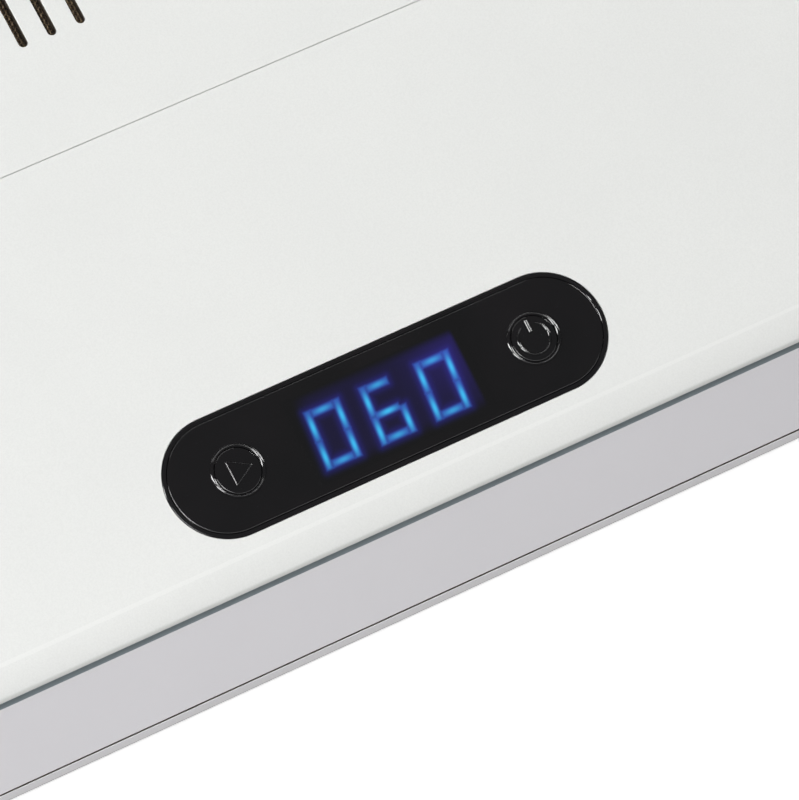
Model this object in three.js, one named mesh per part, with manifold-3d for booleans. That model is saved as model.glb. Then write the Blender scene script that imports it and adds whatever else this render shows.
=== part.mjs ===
// Filament dryer box: a low base with a sloped control console, and a hinged hood with a window.
// Millimetres, +Z up, the front faces -Y, and the origin is the centre of the footprint at floor level.
import * as THREE from "three";
import { mergeVertices } from "three/addons/utils/BufferGeometryUtils.js";
import Module from "manifold-3d";

const wasm = await Module();
wasm.setup();

// ---- Driving dimensions -------------------------------------------------------------------

const WIDTH = 285;
const DEPTH = 227; // front lip to the back of the hinge knuckles
const BODY_TOP = 246;
const WALL = 2.8;
const GAP = 0.3; // clearance between neighbouring pieces

const FOOT_HEIGHT = 2.5;
const COVER_THICKNESS = 2.3;
const COVER_GAP = 0.35;
const SKIRT_HEIGHT = 21.2;
const SKIRT_INSET = 0.8;
const LIP_RADIUS = 2;

const SLOPE = 45; // degrees, of the console at the control panel
const NOSE_RADIUS = 25; // the console rolls over into the front lip
const NOSE_TURN = 19; // degrees
const FLAT_HALF = 15.3; // half-length of the flat stretch round the control panel
const CROWN_RADIUS = 900; // the console's slight crown above the panel
const FLARE_END = 124; // from the panel's centre, along the slope
const SWEEP_RADIUS = 14; // from the slope up into the hood's front
const HOOD_LEAN = 4; // degrees
const TOP_RADIUS = 28;
const SIDE_ROUND = 8;
const FRONT_CORNER = 24;
const BACK_CORNER = 16;

const SEAM_Z = 101.4; // underside of the lid
const SEAM_GAP = 0.3;
const RIM_WIDTH = 7;
const RIM_HEIGHT = 8;
const LID_RIM_HEIGHT = 3;
const TUB_FLOOR = 22;

const PANEL_LENGTH = 107.3;
const PANEL_WIDTH = 27.5;
const PANEL_PROUD = 0.3;
const BEZEL_RIM = 1;
const BEZEL_DEPTH = 2.2;
const FACE_THICKNESS = 1.2;
const FACE_TOP = 0.1;
const BUTTON_X = 36.55;
const BUTTON_RADIUS = 5;
const BUTTON_RING = [5.3, 6.1];
const BUTTON_RING_HEIGHT = 0.35;
const PANEL_OPENING = [98.6, 21.4];
const PAD_DEPTH = 5;
const DISPLAY = { x: 0.4, v: -0.95, width: 38, height: 19, depth: 8 };

const SLOT_WIDTH = 2.1;
const SLOT_PITCH = 7;
const SLOT_FIRST_X = 21.4;
const SLOT_COUNT = 6;
const SLOT_START = 105.4; // lower tip, from the panel's centre along the slope
const SLOT_END = 122.5;

const ROLLER_X = 62;
const ROLLER_Z = 40;
const ROLLER_RADIUS = 8;
const SHAFT_RADIUS = 2.5;
const BEARING_RADIUS = 5.5;
const BEARING_BORE = 2.7;
const CRADLE_FRONT = 8;
const CRADLE_BACK = 96;
const CRADLE_CHEEK = 4;

const HINGE_OFFSET = 4; // pin axis behind the back wall
const HINGE_RISE = 0.6; // pin axis above the lid's underside
const KNUCKLE_RADIUS = 3.4;
const KNUCKLE = { lidHalf: 6.6, baseFrom: 7, baseTo: 13 };
const PIN_RADIUS = 1.5;
const HINGE_X = 85;
const SCOOP = { from: 10, to: 60, depth: 2.2, corner: 6 }; // finger scoops at the sides of the rim
const GASKET = { outer: 3.8, inner: 5.8, drop: 0.9, proud: 0.1 }; // insets and levels about the rim

const FOOT = { x: 115, front: -85, back: 80, radius: 9, stem: 2.4 };
const SCREW = { x: 131, front: -60, back: 50, radius: 1.5, head: 3, boss: 4 };
const BLOWER = { y: -50, half: 32, bottom: 22, top: 40, intake: 19, wheel: 23 };
const INTAKE = { half: 20, slots: 7, pitch: 6, slotHalf: 1.4 }; // air slots in the cover under the blower
const HOT_AIR = { half: 21, bottom: 25, top: 38 }; // opening from the duct into the chamber
const HEATER = { half: 20.2, front: -14.5, back: -6, low: 23.8, high: 38.2, fins: 9, pitch: 4.5 };
const DUCT_HALF = 22;
const DUCT_FRONT = -17.4;
const MAGNET = { x: 108, y: -20, radius: 4, baseZ: 95.6, lidZ: 101.7, lidTop: 103.9 };
const OUTLET = { x: 62, y: 80, bore: 3, neck: 5, flange: 9, flangeHeight: 1.4 };
const WINDOW = { half: 104, bottom: 152, back: 50, corner: 14, thickness: 1.8, ledge: 4 };
const JACK = { x: -100, z: 13.2, radius: 5 };

// ---- Levels and places worked out from them -------------------------------------------------

const FRONT = -DEPTH / 2;
const BACK = DEPTH / 2 - HINGE_OFFSET - KNUCKLE_RADIUS;
const HALF = WIDTH / 2;
const COVER_TOP = FOOT_HEIGHT + COVER_THICKNESS;
const BASE_BOTTOM = COVER_TOP + COVER_GAP;
const CREASE_Z = BASE_BOTTOM + SKIRT_HEIGHT;
const LIP_UNDERCUT = LIP_RADIUS - Math.sqrt(LIP_RADIUS ** 2 - (LIP_RADIUS - SKIRT_INSET) ** 2);
const LIP_BOTTOM = CREASE_Z - LIP_UNDERCUT;
const BASE_TOP = SEAM_Z - SEAM_GAP;
const SHELF_UNDERSIDE = BASE_TOP - WALL;
const RIM_BOTTOM = BASE_TOP - RIM_HEIGHT;
const HINGE_Y = BACK + HINGE_OFFSET;
const HINGE_Z = SEAM_Z + HINGE_RISE;
const FAR = 400; // past every face of the object
const BELOW = -20;

const radians = THREE.MathUtils.degToRad;
const slope = radians(SLOPE);
const noseEndNormal = 180 - (90 - SLOPE - NOSE_TURN);
const PANEL_Y = FRONT + panelSetback();
const PANEL_Z = LIP_BOTTOM + LIP_RADIUS + panelRise();

// Distance back from the front lip to the panel's centre, through the nose's arc and the lip's.
function panelSetback() {
  const noseEnd = noseOffset();
  return -noseEnd.y + LIP_RADIUS * (1 + Math.cos(radians(noseEndNormal)));
}

// Height of the panel's centre above the centre of the lip's rounding.
function panelRise() {
  return -noseOffset().z + LIP_RADIUS * Math.sin(radians(noseEndNormal));
}

// The lower end of the nose's arc, measured from the panel's centre.
function noseOffset() {
  const v = -FLAT_HALF - NOSE_RADIUS * Math.sin(radians(NOSE_TURN));
  const n = -NOSE_RADIUS * (1 - Math.cos(radians(NOSE_TURN)));
  return { y: v * Math.cos(slope) - n * Math.sin(slope), z: v * Math.sin(slope) + n * Math.cos(slope) };
}

// A point v up the slope from the panel's centre and n out of it, as [y, z].
function onSlope(v, n) {
  return [
    PANEL_Y + v * Math.cos(slope) - n * Math.sin(slope),
    PANEL_Z + v * Math.sin(slope) + n * Math.cos(slope),
  ];
}

// ---- Outlines -------------------------------------------------------------------------------

function polar([cx, cy], radius, degrees) {
  const angle = radians(degrees);
  return [cx + radius * Math.cos(angle), cy + radius * Math.sin(angle)];
}

function arc(centre, radius, fromDegrees, toDegrees, steps) {
  const points = [];
  for (let i = 0; i <= steps; i++) {
    points.push(polar(centre, radius, fromDegrees + ((toDegrees - fromDegrees) * i) / steps));
  }
  return points;
}

function roundedOutline([x0, x1], [y0, y1], lowRadius, highRadius, steps = 4) {
  const low = Math.max(lowRadius, 0.01);
  const high = Math.max(highRadius, 0.01);
  return [
    ...arc([x1 - low, y0 + low], low, -90, 0, steps),
    ...arc([x1 - high, y1 - high], high, 0, 90, steps),
    ...arc([x0 + high, y1 - high], high, 90, 180, steps),
    ...arc([x0 + low, y0 + low], low, 180, 270, steps),
  ];
}

function pillOutline(length, width, steps = 9) {
  const r = width / 2;
  const c = length / 2 - r;
  return [...arc([c, 0], r, -90, 90, steps), ...arc([-c, 0], r, 90, 270, steps)];
}

// The whole body seen from the side, as [y, z] points, moved inwards by inset.
function sideOutline(inset) {
  const crownTurn = THREE.MathUtils.radToDeg((FLARE_END - FLAT_HALF) / CROWN_RADIUS);
  const slopeNormal = 90 + SLOPE;
  const flareNormal = slopeNormal - crownTurn;
  const nose = arc(onSlope(-FLAT_HALF, -NOSE_RADIUS), NOSE_RADIUS - inset, noseEndNormal, slopeNormal, 3);
  const crownCentre = onSlope(FLAT_HALF, -CROWN_RADIUS);
  const crown = arc(crownCentre, CROWN_RADIUS - inset, slopeNormal, flareNormal, 4);
  const sweepCentre = polar(polar(crownCentre, CROWN_RADIUS, flareNormal), SWEEP_RADIUS, flareNormal);
  const sweep = arc(sweepCentre, SWEEP_RADIUS + inset, flareNormal - 180, -HOOD_LEAN, 4);
  const wallFoot = polar(sweepCentre, SWEEP_RADIUS, -HOOD_LEAN);
  const cornerZ = BODY_TOP - TOP_RADIUS;
  const lean = radians(HOOD_LEAN);
  const cornerY = wallFoot[0] + (TOP_RADIUS + Math.sin(lean) * (cornerZ - wallFoot[1])) / Math.cos(lean);
  const frontCorner = arc([cornerY, cornerZ], TOP_RADIUS - inset, 180 - HOOD_LEAN, 90, 5);
  const backCorner = arc([BACK - TOP_RADIUS, cornerZ], TOP_RADIUS - inset, 90, 0, 5);
  const noseEnd = nose[0];
  const wallY = Math.min(FRONT + inset, noseEnd[0]);
  const lipTurn = radians(90 - SLOPE - NOSE_TURN);
  nose[0] = [wallY, noseEnd[1] - (noseEnd[0] - wallY) / Math.tan(lipTurn)];
  const upper = [...nose, ...crown, ...sweep.slice(1), ...frontCorner, ...backCorner];
  return [[wallY, BELOW], ...upper, [BACK - inset, BELOW]].reverse();
}

function planOutline(inset) {
  const x = HALF - inset;
  return roundedOutline([-x, x], [FRONT + inset, BACK - inset], FRONT_CORNER - inset, BACK_CORNER - inset);
}

// ---- Solids ---------------------------------------------------------------------------------

function solidOf(geometry) {
  const bare = geometry.clone();
  bare.deleteAttribute("normal");
  bare.deleteAttribute("uv");
  const merged = mergeVertices(bare, 1e-4);
  return new wasm.Manifold(
    new wasm.Mesh({
      numProp: 3,
      vertProperties: new Float32Array(merged.attributes.position.array),
      triVerts: new Uint32Array(merged.index.array),
    }),
  );
}

function geometryOf(solid) {
  const { vertProperties, triVerts, numProp } = solid.getMesh();
  const positions = new Float32Array((vertProperties.length / numProp) * 3);
  for (let i = 0; i < positions.length / 3; i++) {
    positions.set(vertProperties.subarray(i * numProp, i * numProp + 3), i * 3);
  }
  const geometry = new THREE.BufferGeometry();
  geometry.setAttribute("position", new THREE.BufferAttribute(positions, 3));
  geometry.setIndex(new THREE.BufferAttribute(new Uint32Array(triVerts), 1));
  geometry.computeVertexNormals();
  return geometry;
}

const FRAMES = {
  x: new THREE.Matrix4().makeBasis(axis(0, 1, 0), axis(0, 0, 1), axis(1, 0, 0)),
  y: new THREE.Matrix4().makeBasis(axis(1, 0, 0), axis(0, 0, 1), axis(0, -1, 0)),
  z: new THREE.Matrix4(),
};

function axis(x, y, z) {
  return new THREE.Vector3(x, y, z);
}

// An outline swept along x, y or z between two levels: [y, z] points for x, [x, z] for y, [x, y] for z.
function slab(along, points, [from, to], bevel = 0) {
  const shape = new THREE.Shape(points.map(([a, b]) => new THREE.Vector2(a, b)));
  const geometry = new THREE.ExtrudeGeometry(shape, {
    depth: to - from - 2 * bevel,
    bevelEnabled: bevel > 0,
    bevelThickness: bevel,
    bevelSize: bevel,
    bevelOffset: -bevel,
    bevelSegments: 2,
    curveSegments: 1,
  });
  geometry.translate(0, 0, along === "y" ? -to + bevel : from + bevel);
  geometry.applyMatrix4(FRAMES[along]);
  return solidOf(geometry);
}

function block([x0, x1], [y0, y1], [z0, z1]) {
  const geometry = new THREE.BoxGeometry(x1 - x0, y1 - y0, z1 - z0);
  geometry.translate((x0 + x1) / 2, (y0 + y1) / 2, (z0 + z1) / 2);
  return solidOf(geometry);
}

// A round bar along x, y or z, centred on the other two coordinates.
function rod(along, [a, b], radius, span, sides = 16) {
  const points = arc([a, b], radius, 0, 360 - 360 / sides, sides - 1);
  return slab(along, points, span);
}

function unite(...solids) {
  return solids.reduce((all, next) => all.add(next));
}

function between(low, high) {
  return block([-FAR, FAR], [-FAR, FAR], [low, high]);
}

// The body's outer form moved inwards by inset, with no bottom of its own.
const forms = new Map();
function bodyForm(inset) {
  if (!forms.has(inset)) {
    const x = HALF - inset;
    const bevel = Math.max(SIDE_ROUND - inset, 0.6);
    const sides = slab("x", sideOutline(inset), [-x, x], bevel);
    const plan = slab("z", planOutline(inset), [BELOW / 2, FAR]);
    const top = TOP_RADIUS - inset;
    const front = slab("y", roundedOutline([-x, x], [BELOW, BODY_TOP - inset], 1, top), [-FAR, FAR]);
    forms.set(inset, sides.intersect(plan).intersect(front));
  }
  return forms.get(inset);
}

function bodyBand(outer, inner, low, high) {
  return bodyForm(outer).subtract(bodyForm(inner)).intersect(between(low, high));
}

// ---- Named meshes ---------------------------------------------------------------------------

const MATERIALS = {
  shell: { color: 0xe5e7e4, roughness: 0.45, metalness: 0 },
  cover: { color: 0xc9c8ca, roughness: 0.55, metalness: 0 },
  panel: { color: 0x101012, roughness: 0.12, metalness: 0 },
  window: { color: 0x2a2c30, roughness: 0.08, metalness: 0 },
  inner: { color: 0x3a3b3d, roughness: 0.6, metalness: 0 },
  board: { color: 0x1d5a38, roughness: 0.5, metalness: 0 },
  display: { color: 0x1a2a5a, roughness: 0.3, metalness: 0 },
  rubber: { color: 0x1c1c1c, roughness: 0.85, metalness: 0 },
  silicone: { color: 0x8a8d90, roughness: 0.75, metalness: 0 },
  steel: { color: 0xb8babd, roughness: 0.3, metalness: 1 },
  aluminium: { color: 0xc4c7ca, roughness: 0.4, metalness: 1 },
  mesh: { color: 0x5a4a38, roughness: 0.5, metalness: 0.6 },
};

const dryer = new THREE.Group();
const panel = new THREE.Group();
panel.position.set(0, PANEL_Y, PANEL_Z);
panel.rotation.x = slope;
dryer.add(panel);

function add(name, material, solid, parent = dryer) {
  const look = new THREE.MeshStandardMaterial(MATERIALS[material]);
  const piece = new THREE.Mesh(geometryOf(solid), look);
  piece.name = name;
  parent.add(piece);
}

// A solid drawn in the panel's own frame (x across, y up the slope, z out of it), put in place.
function onPanel(solid) {
  panel.updateMatrix();
  return solid.transform(panel.matrix.toArray());
}

const SIDES = [
  ["left", -1],
  ["right", 1],
];

const CORNERS = [
  ["front_left", -1, "front"],
  ["front_right", 1, "front"],
  ["back_left", -1, "back"],
  ["back_right", 1, "back"],
];

// ---- Base ---------------------------------------------------------------------------------

function hingeKnuckle(from, to, above) {
  const barrel = rod("x", [HINGE_Y, HINGE_Z], KNUCKLE_RADIUS, [from, to], 24);
  const reach = BACK - 1;
  const lidFoot = SEAM_Z + GAP;
  const barrelTop = HINGE_Z + KNUCKLE_RADIUS;
  const upperWeb = [[reach, lidFoot], [HINGE_Y, lidFoot], [HINGE_Y, barrelTop], [reach, SEAM_Z + 9]];
  const lowerWeb = [[reach, BASE_TOP - 14], [HINGE_Y + 3, HINGE_Z - 1.4], [reach, BASE_TOP]];
  const web = above ? upperWeb : lowerWeb;
  return barrel.add(slab("x", web, [from, to]));
}

function pinBore(from, to) {
  return rod("x", [HINGE_Y, HINGE_Z], PIN_RADIUS + GAP, [from, to], 24);
}

function screwPlaces() {
  return CORNERS.map(([, side, end]) => [side * SCREW.x, SCREW[end]]);
}

function baseShell() {
  const upper = slab("z", planOutline(0), [LIP_BOTTOM, BASE_TOP + LIP_RADIUS], LIP_RADIUS);
  const skirt = slab("z", planOutline(SKIRT_INSET), [BASE_BOTTOM, LIP_BOTTOM + LIP_RADIUS]);
  let shell = bodyForm(0).intersect(upper).intersect(between(0, BASE_TOP)).add(skirt);

  const inFront = block([-FAR, FAR], [-FAR, -WALL], [0, FAR]);
  const behind = block([-FAR, FAR], [0, FAR], [0, FAR]);
  const skirtInside = slab("z", planOutline(SKIRT_INSET + WALL), [0, CREASE_Z + 1]);
  const works = unite(
    bodyForm(WALL).intersect(between(CREASE_Z, RIM_BOTTOM)),
    bodyForm(RIM_WIDTH).intersect(between(CREASE_Z, SHELF_UNDERSIDE)),
    skirtInside,
  ).intersect(inFront);
  const tub = unite(
    bodyForm(WALL).intersect(between(TUB_FLOOR, RIM_BOTTOM)),
    bodyForm(RIM_WIDTH).intersect(between(TUB_FLOOR, FAR)),
  ).intersect(behind);
  const underFloor = skirtInside.intersect(between(0, TUB_FLOOR - WALL));
  shell = shell.subtract(works).subtract(tub).subtract(underFloor);

  const boss = bodyForm(1).intersect(between(BASE_BOTTOM, BASE_TOP - 1));
  for (const [x, y] of screwPlaces()) {
    const top = y < 0 ? SHELF_UNDERSIDE : TUB_FLOOR - 1;
    shell = shell.add(rod("z", [x, y], SCREW.boss, [BASE_BOTTOM, top], 16).intersect(boss));
    shell = shell.subtract(rod("z", [x, y], SCREW.radius + GAP, [0, 17.5], 12));
  }
  for (const [, side] of SIDES) {
    const magnet = [side * MAGNET.x, MAGNET.y];
    shell = shell.add(rod("z", magnet, MAGNET.radius + 2, [MAGNET.baseZ - 3, BASE_TOP - 1]));
    shell = shell.subtract(rod("z", magnet, MAGNET.radius + GAP, [MAGNET.baseZ - GAP, FAR]));
    const x = side * HINGE_X;
    const { baseFrom, baseTo } = KNUCKLE;
    shell = shell.add(hingeKnuckle(x - baseTo, x - baseFrom, false));
    shell = shell.add(hingeKnuckle(x + baseFrom, x + baseTo, false));
    shell = shell.subtract(pinBore(x - baseTo + 1, x + baseTo - 1));
    const { from, to, corner, depth } = SCOOP;
    const scoop = roundedOutline([from, to], [RIM_BOTTOM + 0.6, FAR], corner, corner);
    const grip = [side * (HALF - depth), side * FAR].sort((a, b) => a - b);
    shell = shell.subtract(slab("x", scoop, grip));
  }

  // Seat for the control panel: a thick pad under the deck, a pocket, and an opening through it.
  const deck = bodyForm(1).intersect(between(CREASE_Z, BASE_TOP));
  const pad = slab("z", pillOutline(PANEL_LENGTH + 8, PANEL_WIDTH + 6), [-PAD_DEPTH, -1]);
  shell = shell.add(onPanel(pad).intersect(deck));
  for (const side of [-1, 1]) {
    const post = [side * (PANEL_LENGTH / 2 - 0.4), 0];
    shell = shell.add(onPanel(rod("z", post, 2, [-9.6, -PAD_DEPTH + 1], 12)));
  }
  const pocket = pillOutline(PANEL_LENGTH + 2 * GAP, PANEL_WIDTH + 2 * GAP);
  shell = shell.subtract(onPanel(slab("z", pocket, [-BEZEL_DEPTH - GAP, 20])));
  shell = shell.subtract(onPanel(slab("z", pillOutline(...PANEL_OPENING), [-PAD_DEPTH - 2, 0])));

  // Hot-air opening, gasket groove and the power inlet's hole.
  const { half, bottom, top } = HOT_AIR;
  shell = shell.subtract(block([-half, half], [-2 * WALL, 1], [bottom, top]));
  const groove = bodyBand(GASKET.outer - GAP, GASKET.inner + GAP, BASE_TOP - GASKET.drop - GAP, FAR);
  shell = shell.subtract(groove);
  return shell.subtract(rod("y", [JACK.x, JACK.z], JACK.radius + GAP, [BACK - 20, FAR]));
}

function bottomCover() {
  let cover = slab("z", planOutline(SKIRT_INSET), [FOOT_HEIGHT, COVER_TOP]);
  const rim = slab("z", planOutline(3.9), [COVER_TOP - 1, COVER_TOP + 3]);
  cover = cover.add(rim.subtract(slab("z", planOutline(5.9), [COVER_TOP - 2, COVER_TOP + 4])));
  for (const [, side, end] of CORNERS) {
    const foot = [side * FOOT.x, FOOT[end]];
    cover = cover.subtract(rod("z", foot, FOOT.stem + GAP, [0, 9], 16));
  }
  for (const place of screwPlaces()) {
    cover = cover.subtract(rod("z", place, SCREW.radius + GAP, [0, 9], 12));
    cover = cover.subtract(rod("z", place, SCREW.head + GAP, [0, FOOT_HEIGHT + 1.4], 12));
  }
  for (let row = 0; row < INTAKE.slots; row++) {
    const y = BLOWER.y + (row - (INTAKE.slots - 1) / 2) * INTAKE.pitch;
    const slot = [y - INTAKE.slotHalf, y + INTAKE.slotHalf];
    cover = cover.subtract(block([-INTAKE.half, INTAKE.half], slot, [0, COVER_TOP + GAP]));
  }
  return cover;
}

function addBase() {
  add("base_shell", "shell", baseShell());
  add("bottom_cover", "cover", bottomCover());
  for (const [name, side, end] of CORNERS) {
    const foot = [side * FOOT.x, FOOT[end]];
    const disc = rod("z", foot, FOOT.radius, [0, FOOT_HEIGHT - GAP]);
    add("foot_" + name, "rubber", disc.add(rod("z", foot, FOOT.stem, [1, 7.5], 16)));
    const screw = [side * SCREW.x, SCREW[end]];
    const head = rod("z", screw, SCREW.head, [FOOT_HEIGHT, FOOT_HEIGHT + 1.1], 12);
    const shank = rod("z", screw, SCREW.radius, [FOOT_HEIGHT + 1, 16], 12);
    add("cover_screw_" + name, "steel", head.add(shank));
  }
}

// ---- Control panel, in its own frame ----------------------------------------------------------

function addPanel() {
  const bezelTop = PANEL_PROUD;
  const faceBottom = FACE_TOP - FACE_THICKNESS;
  const ledge = faceBottom - GAP;
  const bezel = slab("z", pillOutline(PANEL_LENGTH, PANEL_WIDTH), [-BEZEL_DEPTH, bezelTop])
    .subtract(slab("z", pillOutline(PANEL_LENGTH - 2 * BEZEL_RIM, PANEL_WIDTH - 2 * BEZEL_RIM), [ledge, 5]))
    .subtract(slab("z", pillOutline(...PANEL_OPENING), [-9, 5]));
  add("panel_bezel", "panel", bezel, panel);

  const faceCut = 2 * (BEZEL_RIM + GAP / 2);
  let face = slab("z", pillOutline(PANEL_LENGTH - faceCut, PANEL_WIDTH - faceCut), [faceBottom, FACE_TOP]);
  for (const side of [-1, 1]) {
    const centre = [side * BUTTON_X, 0];
    face = face.add(rod("z", centre, BUTTON_RING[1], [faceBottom, FACE_TOP + BUTTON_RING_HEIGHT], 24));
    face = face.subtract(rod("z", centre, BUTTON_RING[0], [-9, 5], 24));
  }
  add("panel_face", "panel", face, panel);

  const plungerTop = -4.8;
  const boardTop = -9.9;
  const boardHalf = [57, 12];
  for (const [name, switchName, side] of [
    ["mode_button", "mode_switch", -1],
    ["power_button", "power_switch", 1],
  ]) {
    const centre = [side * BUTTON_X, 0];
    const button = unite(
      rod("z", centre, BUTTON_RADIUS, [-2, FACE_TOP + 0.1], 24),
      rod("z", centre, BUTTON_RADIUS + 0.9, [-2.3, faceBottom - GAP], 24),
      rod("z", centre, 1.4, [plungerTop + 0.7, -2], 12),
    );
    add(name, "panel", button, panel);
    const x = side * BUTTON_X;
    const body = block([x - 3, x + 3], [-3, 3], [boardTop + GAP, -6]);
    add(switchName, "steel", body.add(rod("z", centre, 1.6, [-7, plungerTop], 12)), panel);
  }

  const { x, v, width, height, depth } = DISPLAY;
  const displayTop = faceBottom - 0.4;
  const displaySpan = [displayTop - depth, displayTop];
  const display = block([x - width / 2, x + width / 2], [v - height / 2, v + height / 2], displaySpan);
  add("led_display", "display", display, panel);

  const board = block(
    [-boardHalf[0], boardHalf[0]],
    [-boardHalf[1], boardHalf[1]],
    [boardTop - 1.6, boardTop],
  );
  const cableNotch = block([-20, 20], [boardHalf[1] - 1, boardHalf[1] + 1], [-20, 0]);
  add("control_board", "board", board.subtract(cableNotch), panel);
}

// ---- Air path and electronics -------------------------------------------------------------------

function blowerHousing() {
  const { y, half, bottom, top, intake, wheel } = BLOWER;
  const wallThickness = 1.6;
  let housing = slab("z", roundedOutline([-half, half], [y - half, y + half - 0.4], 26, 4), [bottom, top]);
  const inside = [bottom + wallThickness, top - wallThickness];
  housing = housing.subtract(rod("z", [0, y], wheel + 3, inside, 24));
  housing = housing.subtract(block([2, wheel + 3], [y, FAR], inside));
  housing = housing.subtract(rod("z", [0, y], intake, [0, bottom + 3], 24));
  housing = housing.add(rod("z", [0, y], 2, [bottom + 6, top - 1], 12));
  for (const [, side] of SIDES) {
    for (const end of [y - 14, y + 22]) {
      const leg = [side * (half - 3.4), end];
      housing = housing.add(rod("z", leg, 3, [COVER_TOP + GAP, bottom + 1], 10));
    }
  }
  return housing;
}

function blowerWheel() {
  const { y, bottom, top, wheel } = BLOWER;
  const low = bottom + 2.4;
  const high = top - 2.4;
  let rotor = rod("z", [0, y], 9, [low, high], 24).add(rod("z", [0, y], wheel, [high - 1.2, high], 24));
  const blades = 14;
  for (let i = 0; i < blades; i++) {
    const blade = block([15, wheel - 0.5], [-0.5, 0.5], [low, high - 1]);
    rotor = rotor.add(blade.rotate([0, 0, (360 * i) / blades]).translate([0, y, 0]));
  }
  return rotor.subtract(rod("z", [0, y], 2.3, [0, FAR], 12));
}

function heater() {
  const { half, front, back, low, high, fins, pitch } = HEATER;
  let core = block([-half, half], [front, back], [low, high]);
  for (let i = 0; i < fins; i++) {
    const x = (i - (fins - 1) / 2) * pitch;
    core = core.subtract(block([x - 1.3, x + 1.3], [front - 5, back + 5], [low + 1.8, high - 1.8]));
  }
  return core;
}

function airGrille() {
  const spigot = block([-20.5, 20.5], [-2.5, 1], [25.5, 37.5]);
  let grille = block([-25, 25], [GAP, 1.9], [TUB_FLOOR + GAP, 41]).add(spigot);
  for (let i = 0; i < 4; i++) {
    const z = 27.2 + i * 2.9;
    grille = grille.subtract(block([-19, 19], [-5, 5], [z - 0.8, z + 0.8]));
  }
  return grille;
}

function powerBoard() {
  return unite(
    block([-125, -55], [-75, -20], [9.4, 11]),
    block([-120, -100], [-70, -54], [10.5, 26]),
    block([-92, -78], [-66, -40], [10.5, 20]),
    rod("z", [-66, -60], 5, [10.5, 24], 16),
    rod("z", [-66, -42], 5, [10.5, 24], 16),
    block([-120, -108], [-44, -26], [10.5, 18]),
    ...[[-121, -72], [-59, -72], [-121, -24], [-59, -24]].map((p) =>
      rod("z", p, 2, [COVER_TOP + GAP, 10], 8),
    ),
  );
}

function addWorks() {
  add("blower_housing", "inner", blowerHousing());
  add("blower_wheel", "inner", blowerWheel());
  const ductOuter = block([-DUCT_HALF, DUCT_HALF], [DUCT_FRONT, -WALL - GAP], [BLOWER.bottom, BLOWER.top]);
  const ductInner = block([-20.5, 20.5], [-30, 5], [BLOWER.bottom + 1.5, BLOWER.top - 1.5]);
  add("heater_duct", "inner", ductOuter.subtract(ductInner));
  add("ptc_heater", "aluminium", heater());
  const cutoutAt = [0, (DUCT_FRONT - WALL) / 2];
  const cutoutBase = BLOWER.top + GAP;
  add("thermal_cutout", "steel", rod("z", cutoutAt, 4, [cutoutBase, cutoutBase + 4]));
  add("hot_air_grille", "inner", airGrille());
  add("power_board", "board", powerBoard());
  let sensor = block([66, 84], [GAP, 5.4], [58, 74]);
  for (let i = 0; i < 3; i++) {
    const z = 62 + i * 4;
    sensor = sensor.subtract(block([69, 81], [3.4, 9], [z - 0.8, z + 0.8]));
  }
  add("humidity_sensor", "inner", sensor);
  const jack = block([JACK.x - 6.5, JACK.x + 6.5], [BACK - 17, BACK - SKIRT_INSET - WALL - GAP], [8.1, 18.3])
    .add(rod("y", [JACK.x, JACK.z], JACK.radius, [BACK - 8, BACK - SKIRT_INSET + 0.5]))
    .subtract(rod("y", [JACK.x, JACK.z], 2.9, [BACK - 11, FAR], 16))
    .add(rod("y", [JACK.x, JACK.z], 1, [BACK - 12, BACK - 2], 10));
  add("dc_jack", "inner", jack);
}

// ---- Spool rollers ------------------------------------------------------------------------------

function cradle(x) {
  const width = 14;
  const foot = TUB_FLOOR + GAP;
  const cheek = [
    ...arc([x, ROLLER_Z], 10, 0, 180, 10),
    [x - width, foot],
    [x + width, foot],
  ];
  return unite(
    block([x - width, x + width], [CRADLE_FRONT, CRADLE_BACK], [foot, foot + 2.5]),
    slab("y", cheek, [CRADLE_FRONT, CRADLE_FRONT + CRADLE_CHEEK]),
    slab("y", cheek, [CRADLE_BACK - CRADLE_CHEEK, CRADLE_BACK]),
  ).subtract(rod("y", [x, ROLLER_Z], BEARING_RADIUS + GAP, [0, FAR], 24));
}

function addRollers() {
  for (const [name, side] of SIDES) {
    const at = [side * ROLLER_X, ROLLER_Z];
    const inner = [CRADLE_FRONT + CRADLE_CHEEK + 1, CRADLE_BACK - CRADLE_CHEEK - 1];
    add("roller_cradle_" + name, "inner", cradle(side * ROLLER_X));
    add("roller_shaft_" + name, "steel", rod("y", at, SHAFT_RADIUS, [CRADLE_FRONT - 1, CRADLE_BACK + 1]));
    const tyre = rod("y", at, ROLLER_RADIUS, inner, 24);
    add("roller_tyre_" + name, "rubber", tyre.subtract(rod("y", at, SHAFT_RADIUS + 0.2, [0, FAR])));
    for (const [end, y] of [["front", CRADLE_FRONT], ["back", CRADLE_BACK - CRADLE_CHEEK]]) {
      const ring = rod("y", at, BEARING_RADIUS, [y, y + CRADLE_CHEEK], 24);
      const race = ring.subtract(rod("y", at, BEARING_BORE, [0, FAR], 20));
      add("bearing_" + end + "_" + name, "steel", race);
    }
  }
}

// ---- Lid --------------------------------------------------------------------------------------

function windowRegion(grow) {
  const { half, bottom, back, corner } = WINDOW;
  const x = half + grow;
  const face = roundedOutline([-x, x], [bottom - grow, FAR], corner + grow, 1);
  const top = roundedOutline([-x, x], [-FAR, back + grow], 1, corner + grow);
  return slab("y", face, [-FAR, FAR]).intersect(slab("z", top, [0, FAR]));
}

function ventSlot(x) {
  const length = SLOT_END - SLOT_START;
  const outline = pillOutline(length, SLOT_WIDTH, 4).map(([a, b]) => [x + b, SLOT_START + length / 2 - a]);
  return onPanel(slab("z", outline.reverse(), [-20, 10]));
}

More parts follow.
